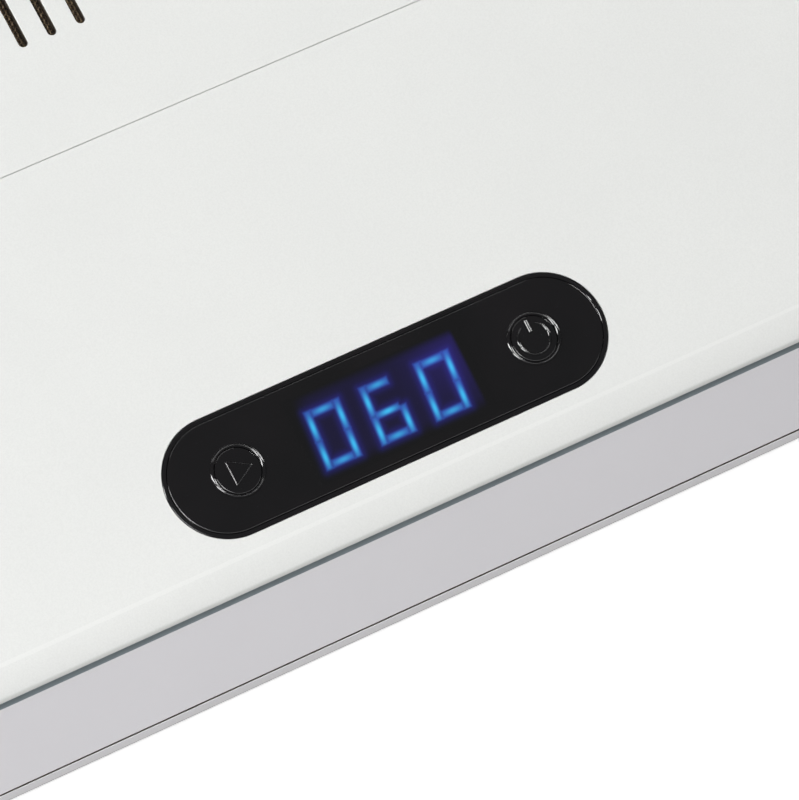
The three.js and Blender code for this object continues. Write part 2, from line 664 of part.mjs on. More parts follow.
function lidShell() {
  const hollow = bodyForm(WALL)
    .intersect(between(SEAM_Z + LID_RIM_HEIGHT, FAR))
    .add(bodyForm(RIM_WIDTH).intersect(between(0, SEAM_Z + LID_RIM_HEIGHT + 1)));
  let shell = bodyForm(0).intersect(between(SEAM_Z, FAR)).subtract(hollow);
  shell = shell.subtract(windowRegion(GAP).subtract(bodyForm(WINDOW.thickness + GAP)));
  shell = shell.subtract(windowRegion(-WINDOW.ledge));
  for (const [, side] of SIDES) {
    for (let i = 0; i < SLOT_COUNT; i++) {
      shell = shell.subtract(ventSlot(side * (SLOT_FIRST_X + i * SLOT_PITCH)));
    }
    const magnet = [side * MAGNET.x, MAGNET.y];
    const boss = rod("z", magnet, MAGNET.radius + 2, [SEAM_Z, FAR]).intersect(bodyForm(1));
    shell = shell.add(boss);
    shell = shell.subtract(rod("z", magnet, MAGNET.radius + GAP, [0, MAGNET.lidTop + GAP]));
    const x = side * HINGE_X;
    shell = shell.add(hingeKnuckle(x - KNUCKLE.lidHalf, x + KNUCKLE.lidHalf, true));
    shell = shell.subtract(pinBore(x - KNUCKLE.lidHalf - 1, x + KNUCKLE.lidHalf + 1));
    shell = shell.subtract(rod("z", [side * OUTLET.x, OUTLET.y], OUTLET.neck + GAP, [200, FAR]));
  }
  return shell;
}

function addLid() {
  add("lid_shell", "shell", lidShell());
  const pane = bodyForm(0).subtract(bodyForm(WINDOW.thickness)).intersect(windowRegion(0));
  add("lid_window", "window", pane);
  const { outer, inner, drop, proud } = GASKET;
  add("rim_gasket", "silicone", bodyBand(outer, inner, BASE_TOP - drop, BASE_TOP + proud));
  for (const [name, side] of SIDES) {
    const first = side * (SLOT_FIRST_X - 3);
    const last = side * (SLOT_FIRST_X + (SLOT_COUNT - 1) * SLOT_PITCH + 3);
    const across = [first, last].sort((a, b) => a - b);
    const patch = onPanel(block(across, [SLOT_START - 3, SLOT_END + 1.2], [-30, 10]));
    const sheet = bodyForm(WALL + GAP).subtract(bodyForm(WALL + GAP + 0.7));
    add("vent_mesh_" + name, "mesh", sheet.intersect(patch));
    const magnet = [side * MAGNET.x, MAGNET.y];
    add("base_magnet_" + name, "steel", rod("z", magnet, MAGNET.radius, [MAGNET.baseZ, BASE_TOP - 0.2]));
    add("lid_magnet_" + name, "steel", rod("z", magnet, MAGNET.radius, [MAGNET.lidZ, MAGNET.lidTop]));
    const x = side * HINGE_X;
    add("hinge_pin_" + name, "steel", rod("x", [HINGE_Y, HINGE_Z], PIN_RADIUS, [x - 11.6, x + 11.6]));
    const port = [side * OUTLET.x, OUTLET.y];
    const flangeTop = BODY_TOP + OUTLET.flangeHeight + GAP;
    const fitting = rod("z", port, OUTLET.flange, [BODY_TOP + GAP, flangeTop], 24)
      .add(rod("z", port, OUTLET.neck, [BODY_TOP - 7, BODY_TOP + 1]))
      .subtract(rod("z", port, OUTLET.bore, [0, FAR]));
    add("outlet_fitting_" + name, "inner", fitting);
    const plug = rod("z", port, 5.5, [flangeTop + GAP, flangeTop + 3.6]).add(
      rod("z", port, OUTLET.bore - GAP, [BODY_TOP - 6, flangeTop + 1]),
    );
    add("outlet_plug_" + name, "silicone", plug);
  }
}

addBase();
addPanel();
addWorks();
addRollers();
addLid();

export default dryer;
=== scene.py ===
"""Looks of the filament dryer box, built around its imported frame. Sizes are in millimetres up to each
mesh's last step, which turns it to metres; the rest frame is the CAD's."""

import math

import bmesh
import bpy
from mathutils import Matrix, Vector


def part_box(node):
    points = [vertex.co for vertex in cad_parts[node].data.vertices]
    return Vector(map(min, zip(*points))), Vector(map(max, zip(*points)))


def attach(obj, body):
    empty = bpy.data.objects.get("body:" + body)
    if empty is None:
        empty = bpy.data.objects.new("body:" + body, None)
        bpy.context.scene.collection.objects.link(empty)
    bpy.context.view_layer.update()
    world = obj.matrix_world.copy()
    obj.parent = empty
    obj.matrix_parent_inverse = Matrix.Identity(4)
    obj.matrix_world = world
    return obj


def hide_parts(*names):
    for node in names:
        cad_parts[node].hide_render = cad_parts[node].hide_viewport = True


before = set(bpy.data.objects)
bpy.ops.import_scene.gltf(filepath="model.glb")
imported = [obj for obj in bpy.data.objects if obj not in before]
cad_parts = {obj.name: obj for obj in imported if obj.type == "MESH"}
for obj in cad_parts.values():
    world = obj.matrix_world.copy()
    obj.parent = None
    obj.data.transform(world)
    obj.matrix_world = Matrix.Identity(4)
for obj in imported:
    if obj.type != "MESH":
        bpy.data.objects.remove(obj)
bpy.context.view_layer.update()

MM = 0.001

# ---- Sizes shared with the CAD part ----

WALL = 2.8
GAP = 0.3
SKIRT_INSET = 0.8
LIP_RADIUS = 2
SLOPE = 45
NOSE_RADIUS = 25
NOSE_TURN = 19
FLAT_HALF = 15.3
CROWN_RADIUS = 900
FLARE_END = 124
SWEEP_RADIUS = 14
HOOD_LEAN = 4
TOP_RADIUS = 28
SIDE_ROUND = 8
FRONT_CORNER = 24
BACK_CORNER = 16
RIM_WIDTH = 7
LID_RIM_HEIGHT = 3
TUB_FLOOR = 22
BEZEL_RIM = 1.0
BUTTON_X = 36.55
SLOT_WIDTH = 2.1
SLOT_PITCH = 7
SLOT_FIRST_X = 21.4
SLOT_COUNT = 6
SLOT_START = 105.4
SLOT_END = 122.5
HINGE_X = 85
KNUCKLE_RADIUS = 3.4
FOOT_HEIGHT = 2.5
WINDOW = {"half": 104, "bottom": 152, "back": 50, "corner": 14, "thickness": 1.8, "ledge": 4}
BASE_KNUCKLE = (7, 13)
LID_KNUCKLE_HALF = 6.6
PIN_RADIUS = 1.5
SCREW_X = 131
SCREW_Y = {-1: -60, 1: 50}
SCREW = {"radius": 1.5, "boss": 4, "hole_top": 17.5, "head": 3}
MAGNET_X = 108
MAGNET_Y = -20
MAGNET = {"radius": 4, "boss": 6, "boss_bottom": 92.6, "base_bottom": 95.6, "lid_top": 103.9}
SCOOP = {"y": (10, 60), "depth": 2.2, "corner": 6, "above_rim": 0.6}
GASKET = {"outer": 3.8, "inner": 5.8, "drop": 0.9}
HOT_AIR = {"x": (-21, 21), "z": (25, 38)}
JACK = {"place": (-100, 13.2), "radius": 5}
PANEL_OPENING = (98.6, 21.4)
INTAKE = {"count": 7, "first_y": -68, "pitch": 6, "length": 40, "width": 2.8}
COVER_LIP = {"outer": 3.9, "inner": 5.9}
OUTLET_HOLE = 5.3
FAR = 400
BELOW = -20


def cad(node):
    """Lowest and highest corner of a CAD node, in millimetres."""
    low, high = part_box(node)
    return low / MM, high / MM


def plan_centre(node):
    """Middle of a CAD node seen from above."""
    low, high = cad(node)
    return (low.x + high.x) / 2, (low.y + high.y) / 2


shell_low, shell_high = cad("base_shell")
bezel_low, bezel_high = cad("panel_bezel")
pin_low, pin_high = cad("hinge_pin_left")

HALF = shell_high.x
FRONT = shell_low.y
HINGE_Y = (pin_low.y + pin_high.y) / 2
HINGE_Z = (pin_low.z + pin_high.z) / 2
BACK = HINGE_Y - 4
BODY_TOP = cad("lid_shell")[1].z
SEAM_Z = 101.4
BASE_TOP = SEAM_Z - GAP
SHELF_UNDERSIDE = BASE_TOP - WALL
RIM_BOTTOM = BASE_TOP - 8
BASE_BOTTOM = shell_low.z
COVER_TOP = 4.8
CREASE_Z = BASE_BOTTOM + 21.2
LIP_BOTTOM = CREASE_Z - (LIP_RADIUS - math.sqrt(LIP_RADIUS**2 - (LIP_RADIUS - SKIRT_INSET) ** 2))
PANEL_LENGTH = bezel_high.x - bezel_low.x
PANEL_WIDTH = 27.5
# Only here, and not in the CAD part: half of the parting line that is left to see, and the crease's depth.
SEAM_SHOWN = 0.08
GROOVE_DEPTH = 1.9

slope = math.radians(SLOPE)
nose_end_normal = 180 - (90 - SLOPE - NOSE_TURN)


def nose_offset():
    v = -FLAT_HALF - NOSE_RADIUS * math.sin(math.radians(NOSE_TURN))
    n = -NOSE_RADIUS * (1 - math.cos(math.radians(NOSE_TURN)))
    return v * math.cos(slope) - n * math.sin(slope), v * math.sin(slope) + n * math.cos(slope)


PANEL_Y = FRONT - nose_offset()[0] + LIP_RADIUS * (1 + math.cos(math.radians(nose_end_normal)))
PANEL_Z = LIP_BOTTOM + LIP_RADIUS - nose_offset()[1] + LIP_RADIUS * math.sin(math.radians(nose_end_normal))
ON_PANEL = Matrix.Translation((0, PANEL_Y, PANEL_Z)) @ Matrix.Rotation(slope, 4, "X")


def on_slope(v, n):
    return (
        PANEL_Y + v * math.cos(slope) - n * math.sin(slope),
        PANEL_Z + v * math.sin(slope) + n * math.cos(slope),
    )


# ---- Outlines ----


def polar(centre, radius, degrees):
    angle = math.radians(degrees)
    return centre[0] + radius * math.cos(angle), centre[1] + radius * math.sin(angle)


def arc(centre, radius, start, end, steps):
    return [polar(centre, radius, start + (end - start) * i / steps) for i in range(steps + 1)]


def circle(centre, radius, sides=64):
    return arc(centre, radius, 0, 360 - 360 / sides, sides - 1)


def rounded(x, y, low, high, steps=12):
    """A box outline with its two low corners and its two high corners rounded."""
    low = max(low, 0.01)
    high = max(high, 0.01)
    return [
        *arc((x[1] - low, y[0] + low), low, -90, 0, steps),
        *arc((x[1] - high, y[1] - high), high, 0, 90, steps),
        *arc((x[0] + high, y[1] - high), high, 90, 180, steps),
        *arc((x[0] + low, y[0] + low), low, 180, 270, steps),
    ]


def pill(length, width, steps=48):
    radius = width / 2
    reach = length / 2 - radius
    return [*arc((reach, 0), radius, -90, 90, steps), *arc((-reach, 0), radius, 90, 270, steps)]


def eased(points, reach, closed=False, steps=3):
    """The same line with a small curve in place of each corner."""
    result = []
    count = len(points)
    for i, point in enumerate(points):
        if not closed and i in (0, count - 1):
            result.append(point)
            continue
        here = Vector(point)
        before = Vector(points[i - 1]) - here
        after = Vector(points[(i + 1) % count]) - here
        start = here + before.normalized() * min(reach, before.length * 0.45)
        end = here + after.normalized() * min(reach, after.length * 0.45)
        for k in range(steps + 1):
            t = k / steps
            result.append(tuple((1 - t) ** 2 * start + 2 * t * (1 - t) * here + t * t * end))
    return result


def side_outline(inset):
    """The whole body seen from the side, as (y, z) points, moved inwards by inset."""
    crown_turn = math.degrees((FLARE_END - FLAT_HALF) / CROWN_RADIUS)
    slope_normal = 90 + SLOPE
    flare_normal = slope_normal - crown_turn
    nose = arc(on_slope(-FLAT_HALF, -NOSE_RADIUS), NOSE_RADIUS - inset, nose_end_normal, slope_normal, 26)
    crown_centre = on_slope(FLAT_HALF, -CROWN_RADIUS)
    crown = arc(crown_centre, CROWN_RADIUS - inset, slope_normal, flare_normal, 36)
    sweep_centre = polar(polar(crown_centre, CROWN_RADIUS, flare_normal), SWEEP_RADIUS, flare_normal)
    sweep = arc(sweep_centre, SWEEP_RADIUS + inset, flare_normal - 180, -HOOD_LEAN, 14)
    wall_foot = polar(sweep_centre, SWEEP_RADIUS, -HOOD_LEAN)
    corner_z = BODY_TOP - TOP_RADIUS
    lean = math.radians(HOOD_LEAN)
    corner_y = wall_foot[0] + (TOP_RADIUS + math.sin(lean) * (corner_z - wall_foot[1])) / math.cos(lean)
    front_corner = arc((corner_y, corner_z), TOP_RADIUS - inset, 180 - HOOD_LEAN, 90, 20)
    back_corner = arc((BACK - TOP_RADIUS, corner_z), TOP_RADIUS - inset, 90, 0, 20)
    nose_end = nose[0]
    wall_y = min(FRONT + inset, nose_end[0])
    lip_centre = (FRONT + LIP_RADIUS, LIP_BOTTOM + LIP_RADIUS)
    if inset < LIP_RADIUS:
        lip = arc(lip_centre, LIP_RADIUS - inset, 180, nose_end_normal, 6)
    else:
        lip = [nose_end] * 7
    upper = [*lip, *nose, *crown, *sweep[1:], *front_corner, *back_corner]
    return [(wall_y, BELOW), *upper, (BACK - inset, BELOW)]


def plan_outline(inset):
    x = HALF - inset
    return rounded((-x, x), (FRONT + inset, BACK - inset), FRONT_CORNER - inset, BACK_CORNER - inset, 20)


# ---- Solids ----

PLACES = {
    "x": lambda a, b, level: (level, a, b),
    "y": lambda a, b, level: (a, level, b),
    "z": lambda a, b, level: (a, b, level),
}


def solid(points, faces):
    mesh = bpy.data.meshes.new("solid")
    form = bmesh.new()
    corners = [form.verts.new(p) for p in points]
    for face in faces:
        form.faces.new([corners[i] for i in face])
    bmesh.ops.remove_doubles(form, verts=form.verts, dist=1e-4)
    bmesh.ops.recalc_face_normals(form, faces=form.faces)
    form.to_mesh(mesh)
    form.free()
    return mesh


def loft(rings, closed=False):
    """A solid through rings of equally many points, with flat ends, or going round on itself."""
    count = len(rings[0])
    faces = []
    if not closed:
        last = (len(rings) - 1) * count
        faces = [tuple(range(count - 1, -1, -1)), tuple(last + i for i in range(count))]
    for r in range(len(rings) if closed else len(rings) - 1):
        here = r * count
        there = (r + 1) % len(rings) * count
        for i in range(count):
            j = (i + 1) % count
            faces.append((here + i, here + j, there + j, there + i))
    return solid([p for ring in rings for p in ring], faces)


def slab(along, outline, span, low_edge=0, high_edge=0, steps=8):
    """An outline swept along x, y or z. A function of inset can be rounded at its two ends."""
    low, high = span
    levels = []
    if low_edge:
        for i in range(steps):
            turn = math.pi / 2 * i / steps
            levels.append((low + low_edge * (1 - math.cos(turn)), low_edge * (1 - math.sin(turn))))
    levels.append((low + low_edge, 0))
    levels.append((high - high_edge, 0))
    if high_edge:
        for i in range(1, steps + 1):
            turn = math.pi / 2 * i / steps
            levels.append((high - high_edge * (1 - math.sin(turn)), high_edge * (1 - math.cos(turn))))
    place = PLACES[along]
    rings = []
    for level, inset in levels:
        points = outline(inset) if callable(outline) else outline
        rings.append([place(a, b, level) for a, b in points])
    return loft(rings)


def block(x, y, z):
    return slab("z", [(x[0], y[0]), (x[1], y[0]), (x[1], y[1]), (x[0], y[1])], z)


def between(low, high):
    return block((-FAR, FAR), (-FAR, FAR), (low, high))


def rod(along, centre, radius, span, sides=64):
    return slab(along, circle(centre, radius, sides), span)


def turned(along, centre, profile, ease=0.2, closed=False, sides=64):
    """A turned form: profile is (radius, level) points; closed goes round a bore."""
    place = PLACES[along]
    rings = []
    for radius, level in eased(profile, ease, closed):
        rings.append([place(a, b, level) for a, b in circle(centre, max(radius, 0), sides)])
    return loft(rings, closed)


def hoop(outline, profile, ease=0.15):
    """A closed rim: profile is (inset, level) points carried round an outline that takes an inset."""
    rings = []
    for inset, level in eased(profile, ease, True):
        rings.append([(a, b, level) for a, b in outline(inset)])
    return loft(rings, True)


def placed(name, data):
    thing = bpy.data.objects.new(name, data)
    bpy.context.scene.collection.objects.link(thing)
    return thing


def combine(operation, start, others):
    """One boolean operation of a solid with others, in turn."""
    made = [placed("tool", mesh) for mesh in (start, *others)]
    for tool in made[1:]:
        step = made[0].modifiers.new("step", "BOOLEAN")
        step.operation = operation
        step.solver = "MANIFOLD"
        step.object = tool
    settled = made[0].evaluated_get(bpy.context.evaluated_depsgraph_get())
    result = bpy.data.meshes.new_from_object(settled)
    for tool in made:
        bpy.data.objects.remove(tool)
    return result


def cut(start, *others):
    return combine("DIFFERENCE", start, others)


def join(start, *others):
    return combine("UNION", start, others)


def common(start, *others):
    return combine("INTERSECT", start, others)


forms = {}


def body_form(inset):
    """The body's outer form moved inwards by inset, with no bottom of its own."""
    if inset not in forms:
        x = HALF - inset
        edge = max(SIDE_ROUND - inset, 0.6)
        sides = slab("x", lambda more: side_outline(inset + more), (-x, x), edge, edge, 12)
        plan = slab("z", plan_outline(inset), (BELOW / 2, FAR))
        top = rounded((-x, x), (BELOW, BODY_TOP - inset), 1, TOP_RADIUS - inset, 20)
        forms[inset] = common(sides, plan, slab("y", top, (-FAR, FAR)))
    return forms[inset]


def on_panel(mesh):
    """A copy of a mesh made flat, moved to the panel's place and tilt."""
    copy = mesh.copy()
    copy.transform(ON_PANEL)
    return copy


SHARP = math.radians(35)


def bevelled(mesh, width, chosen, steps=2):
    """The sharp edges whose middles are chosen get a small rounding."""
    form = bmesh.new()
    form.from_mesh(mesh)
    edges = []
    for edge in form.edges:
        if len(edge.link_faces) == 2 and edge.calc_face_angle() > SHARP:
            if all(chosen(v.co) for v in edge.verts):
                edges.append(edge)
    shape = {"profile": 0.5, "affect": "EDGES", "clamp_overlap": True}
    bmesh.ops.bevel(form, geom=edges, offset=width, segments=steps, **shape)
    result = bpy.data.meshes.new("bevelled")
    form.to_mesh(result)
    form.free()
    return result


# ---- Materials ----


class Finish:
    """A Principled material whose colour, roughness and bump vary in the object's own space."""

    def __init__(self, name, colour, roughness, metallic=0.0, **sockets):
        self.material = bpy.data.materials.new(name)
        self.material.use_nodes = True
        self.tree = self.material.node_tree
        self.shader = self.tree.nodes["Principled BSDF"]
        self.shader.inputs["Base Color"].default_value = (*colour, 1)
        self.shader.inputs["Roughness"].default_value = roughness
        self.shader.inputs["Metallic"].default_value = metallic
        for key, value in sockets.items():
            self.shader.inputs[key.replace("_", " ")].default_value = value
        self.colour = colour
        self.roughness = roughness
        self.place = self.tree.nodes.new("ShaderNodeTexCoord").outputs["Object"]
        self.bump_out = None

    def noise(self, scale, detail=3.0, stretch=(1, 1, 1)):
        place = self.place
        if stretch != (1, 1, 1):
            mapping = self.tree.nodes.new("ShaderNodeMapping")
            mapping.inputs["Scale"].default_value = stretch
            self.tree.links.new(place, mapping.inputs["Vector"])
            place = mapping.outputs["Vector"]
        node = self.tree.nodes.new("ShaderNodeTexNoise")
        node.inputs["Scale"].default_value = scale
        node.inputs["Detail"].default_value = detail
        self.tree.links.new(place, node.inputs["Vector"])
        return node.outputs["Fac"]

    def ramp(self, value, low, high, low_out, high_out):
        node = self.tree.nodes.new("ShaderNodeMapRange")
        sockets = ("From Min", "From Max", "To Min", "To Max")
        for key, number in zip(sockets, (low, high, low_out, high_out)):
            node.inputs[key].default_value = number
        self.tree.links.new(value, node.inputs["Value"])
        return node.outputs["Result"]

    def blend(self, factor, other):
        """Mixes the colour so far with another."""
        mix = self.tree.nodes.new("ShaderNodeMix")
        mix.data_type = "RGBA"
        base = self.shader.inputs["Base Color"]
        if base.links:
            self.tree.links.new(base.links[0].from_socket, mix.inputs["A"])
        else:
            mix.inputs["A"].default_value = (*self.colour, 1)
        mix.inputs["B"].default_value = (*other, 1)
        self.tree.links.new(factor, mix.inputs["Factor"])
        self.tree.links.new(mix.outputs["Result"], base)
        return self

    def tint(self, value, other, amount):
        """The other colour comes in where value is high."""
        return self.blend(self.ramp(value, 0.35, 0.7, 0, amount), other)

    def gloss(self, scale, spread, stretch=(1, 1, 1)):
        low, high = self.roughness - spread, self.roughness + spread
        value = self.ramp(self.noise(scale, 2, stretch), 0.3, 0.7, low, high)
        self.tree.links.new(value, self.shader.inputs["Roughness"])
        return self

    def bump(self, value, strength, distance):
        node = self.tree.nodes.new("ShaderNodeBump")
        node.inputs["Strength"].default_value = strength
        node.inputs["Distance"].default_value = distance
        self.tree.links.new(value, node.inputs["Height"])
        if self.bump_out:
            self.tree.links.new(self.bump_out, node.inputs["Normal"])
        self.bump_out = node.outputs["Normal"]
        self.tree.links.new(self.bump_out, self.shader.inputs["Normal"])
        return self

    def grain(self, scale, strength, distance=0.00005):
        return self.bump(self.noise(scale, 2), strength, distance)

    def worn(self, other, amount):
        """Edges rub lighter or darker: pointed places take the other colour."""
        point = self.tree.nodes.new("ShaderNodeNewGeometry").outputs["Pointiness"]
        return self.blend(self.ramp(point, 0.53, 0.6, 0, amount), other)


def make_finishes():
    made = {}

    white = Finish("satin_white", (0.62, 0.627, 0.612), 0.42, Specular_IOR_Level=0.42)
    white.tint(white.noise(38), (0.60, 0.607, 0.595), 0.5)
    white.tint(white.noise(2600, 1), (0.54, 0.546, 0.535), 0.35)
    made["shell_white"] = white.gloss(160, 0.05).grain(2400, 0.35).worn((0.68, 0.685, 0.67), 0.4)

    grey = Finish("satin_grey", (0.62, 0.612, 0.625), 0.5, Specular_IOR_Level=0.4)
    grey.tint(grey.noise(40), (0.58, 0.572, 0.585), 0.5)
    made["cover_grey"] = grey.gloss(160, 0.05).grain(2400, 0.4).worn((0.68, 0.68, 0.69), 0.4)

    black = Finish("gloss_black", (0.004, 0.004, 0.0045), 0.09, Specular_IOR_Level=0.9)
    black.tint(black.noise(60), (0.007, 0.006, 0.007), 0.6)
    made["panel_black"] = black.gloss(90, 0.02).grain(900, 0.02, 0.00002)

    inner = Finish("charcoal_plastic", (0.045, 0.047, 0.05), 0.55)
    inner.tint(inner.noise(45), (0.06, 0.062, 0.064), 0.7)
    made["inner_plastic"] = inner.gloss(200, 0.07).grain(1500, 0.5).worn((0.12, 0.12, 0.125), 0.6)

    rubber = Finish("black_rubber", (0.014, 0.014, 0.014), 0.82)
    rubber.tint(rubber.noise(70), (0.035, 0.034, 0.033), 0.7)
    made["black_rubber"] = rubber.grain(1800, 0.6).worn((0.06, 0.06, 0.058), 0.7)

    silicone = Finish("grey_silicone", (0.24, 0.25, 0.26), 0.7, Subsurface_Weight=0.05)
    silicone.tint(silicone.noise(60), (0.30, 0.31, 0.32), 0.6)
    made["grey_silicone"] = silicone.gloss(120, 0.06).grain(1600, 0.3)

    steel = Finish("bright_steel", (0.52, 0.53, 0.54), 0.28, 1.0)
    steel.tint(steel.noise(80, 3, (1, 1, 6)), (0.42, 0.43, 0.44), 0.6)
    made["bright_steel"] = steel.gloss(400, 0.08, (1, 1, 12)).grain(1400, 0.15).worn((0.7, 0.7, 0.7), 0.5)

    fins = Finish("heater_aluminium", (0.60, 0.61, 0.62), 0.38, 1.0)
    fins.tint(fins.noise(70), (0.42, 0.42, 0.42), 0.7)
    made["heater_fins"] = fins.gloss(300, 0.08).grain(1200, 0.3)

    board = Finish("circuit_board", (0.012, 0.085, 0.035), 0.38)
    board.tint(board.noise(500, 1, (1, 0.15, 1)), (0.02, 0.14, 0.06), 0.8)
    board.tint(board.noise(700, 1, (0.15, 1, 1)), (0.30, 0.24, 0.10), 0.35)
    made["circuit_board"] = board.grain(900, 0.3)

    bronze = Finish("bronze_wire", (0.20, 0.145, 0.085), 0.42, 0.75)
    bronze.tint(bronze.noise(420), (0.10, 0.07, 0.045), 0.8)
    made["vent_bronze"] = bronze.gloss(600, 0.1).grain(3000, 0.3)

    # Near-black for the sheet under the vent wires: painted shade inside the vent.
    shade_sheet = Finish("vent_painted_shade", (0.03, 0.022, 0.016), 0.8)
    shade_sheet.tint(shade_sheet.noise(900), (0.06, 0.045, 0.03), 0.8)
    made["vent_painted_shade"] = shade_sheet.grain(2500, 0.8, 0.0001)

    # A lighter, lavender-tinted copy of the shell white for the skirt: painted light that brightens and tints
    # the skirt.
    skirt = Finish("lavender_painted_light", (0.70, 0.687, 0.712), 0.5, Specular_IOR_Level=0.4)
    skirt.tint(skirt.noise(40), (0.67, 0.658, 0.682), 0.5)
    made["skirt_painted_light"] = skirt.gloss(160, 0.05).grain(2400, 0.4).worn((0.74, 0.73, 0.75), 0.4)

    crease = Finish("crease_shadow", (0.29, 0.335, 0.355), 0.6)
    made["crease_shadow"] = crease.grain(2000, 0.4)

    # Near-black brown painted shade, for the side walls of the vent slots and for the faces inside the parting
    # gap between skirt and bottom plate.
    gap_shade = Finish("painted_recess_shade", (0.07, 0.056, 0.042), 0.6)
    gap_shade.tint(gap_shade.noise(500), (0.13, 0.105, 0.08), 0.7)
    made["painted_recess_shade"] = gap_shade.grain(2000, 0.4)

    smoked = Finish("smoked_acrylic", (0.44, 0.45, 0.47), 0.04, Transmission_Weight=0.97, IOR=1.49)
    smoked.tint(smoked.noise(30), (0.40, 0.41, 0.43), 0.6)
    made["smoked_window"] = smoked.gloss(50, 0.012).grain(700, 0.03, 0.00002)

    glow = Finish("display_glow", (0.004, 0.004, 0.0045), 0.09, Emission_Strength=1.0,
                  Specular_IOR_Level=0.9)
    light = glow.tree.nodes.new("ShaderNodeAttribute")
    light.attribute_name = "glow"
    glow.tree.links.new(light.outputs["Color"], glow.shader.inputs["Emission Color"])
    made["display_blue"] = glow.gloss(90, 0.02).grain(900, 0.05, 0.00002)

    ground = Finish("studio_floor", (0.93, 0.93, 0.93), 0.9, Specular_IOR_Level=0.1,
                    Emission_Color=(1, 1, 1, 1), Emission_Strength=0.68)
    made["floor"] = ground.tint(ground.noise(6), (0.92, 0.92, 0.92), 0.5)
    return {name: finish.material for name, finish in made.items()}


finishes = make_finishes()


def piece(name, mesh, body, slot, nodes=(), angle=32, extra=(), dress=()):
    """Turns a millimetre mesh into a piece that rides a body, in a slot's finish, for those CAD nodes.
    Dress says for each face which finish it takes: 0 for the slot's own, or the place of one in extra."""
    mesh.transform(Matrix.Scale(MM, 4))
    mesh.name = name
    mesh.polygons.foreach_set("use_smooth", [True] * len(mesh.polygons))
    mesh.set_sharp_from_angle(angle=math.radians(angle))
    mesh.materials.clear()
    for finish in (slot, *extra):
        mesh.materials.append(finishes[finish])
    if dress:
        mesh.polygons.foreach_set("material_index", dress)
    thing = placed(name, mesh)
    if mesh.attributes.get("glow") is None:
        even = thing.modifiers.new("even_normals", "WEIGHTED_NORMAL")
        even.keep_sharp = True
    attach(thing, body)
    if nodes:
        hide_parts(*nodes)
    return thing


def merged(meshes):
    """Several separate solids as one mesh."""
    form = bmesh.new()
    for mesh in meshes:
        form.from_mesh(mesh)
    result = bpy.data.meshes.new("merged")
    form.to_mesh(result)
    form.free()
    return result


# ---- Base ----

SIDES = [("left", -1), ("right", 1)]
CORNERS = [("front_left", -1, -1), ("front_right", 1, -1), ("back_left", -1, 1), ("back_right", 1, 1)]


def knuckle(start, end, above):
    barrel = rod("x", (HINGE_Y, HINGE_Z), KNUCKLE_RADIUS, (start, end))
    reach = BACK - 1
    if above:
        web = [
            (reach, SEAM_Z + GAP),
            (HINGE_Y, SEAM_Z + GAP),
            (HINGE_Y, HINGE_Z + KNUCKLE_RADIUS),
            (reach, SEAM_Z + 9),
        ]
    else:
        web = [(reach, BASE_TOP - 14), (HINGE_Y + 3, HINGE_Z - 1.4), (reach, BASE_TOP)]
    return join(barrel, slab("x", web, (start, end)))


def pin_bore(start, end):
    return rod("x", (HINGE_Y, HINGE_Z), PIN_RADIUS + GAP, (start, end))


SHELL, CREASE, SKIRT_PAINTED_LIGHT, PARTING_SHADE = range(4)


def base_dress(face, groove):
    """Which finish a face of the base takes."""
    z = face.center.z
    # Bottom faces in the parting gap take painted shade.
    if z < BASE_BOTTOM + 0.1 and face.normal.z < -0.9:
        return PARTING_SHADE
    # The skirt's outer skin takes a lighter, lavender copy of the white: painted light.
    if z < groove[0] - 0.02 and outside_skirt(face.center):
        return SKIRT_PAINTED_LIGHT
    if groove[0] - 0.02 <= z < groove[1] + 0.02 and face.normal.z > -0.9:
        return CREASE
    return SHELL


def outside_skirt(point):
    """True on the skirt's outer skin. All within 20 mm of a side counts, as the corners round there."""
    rim = SKIRT_INSET + 0.5
    at_side = abs(point.x) > HALF - rim - 20
    return at_side or not FRONT + rim <= point.y <= BACK - rim


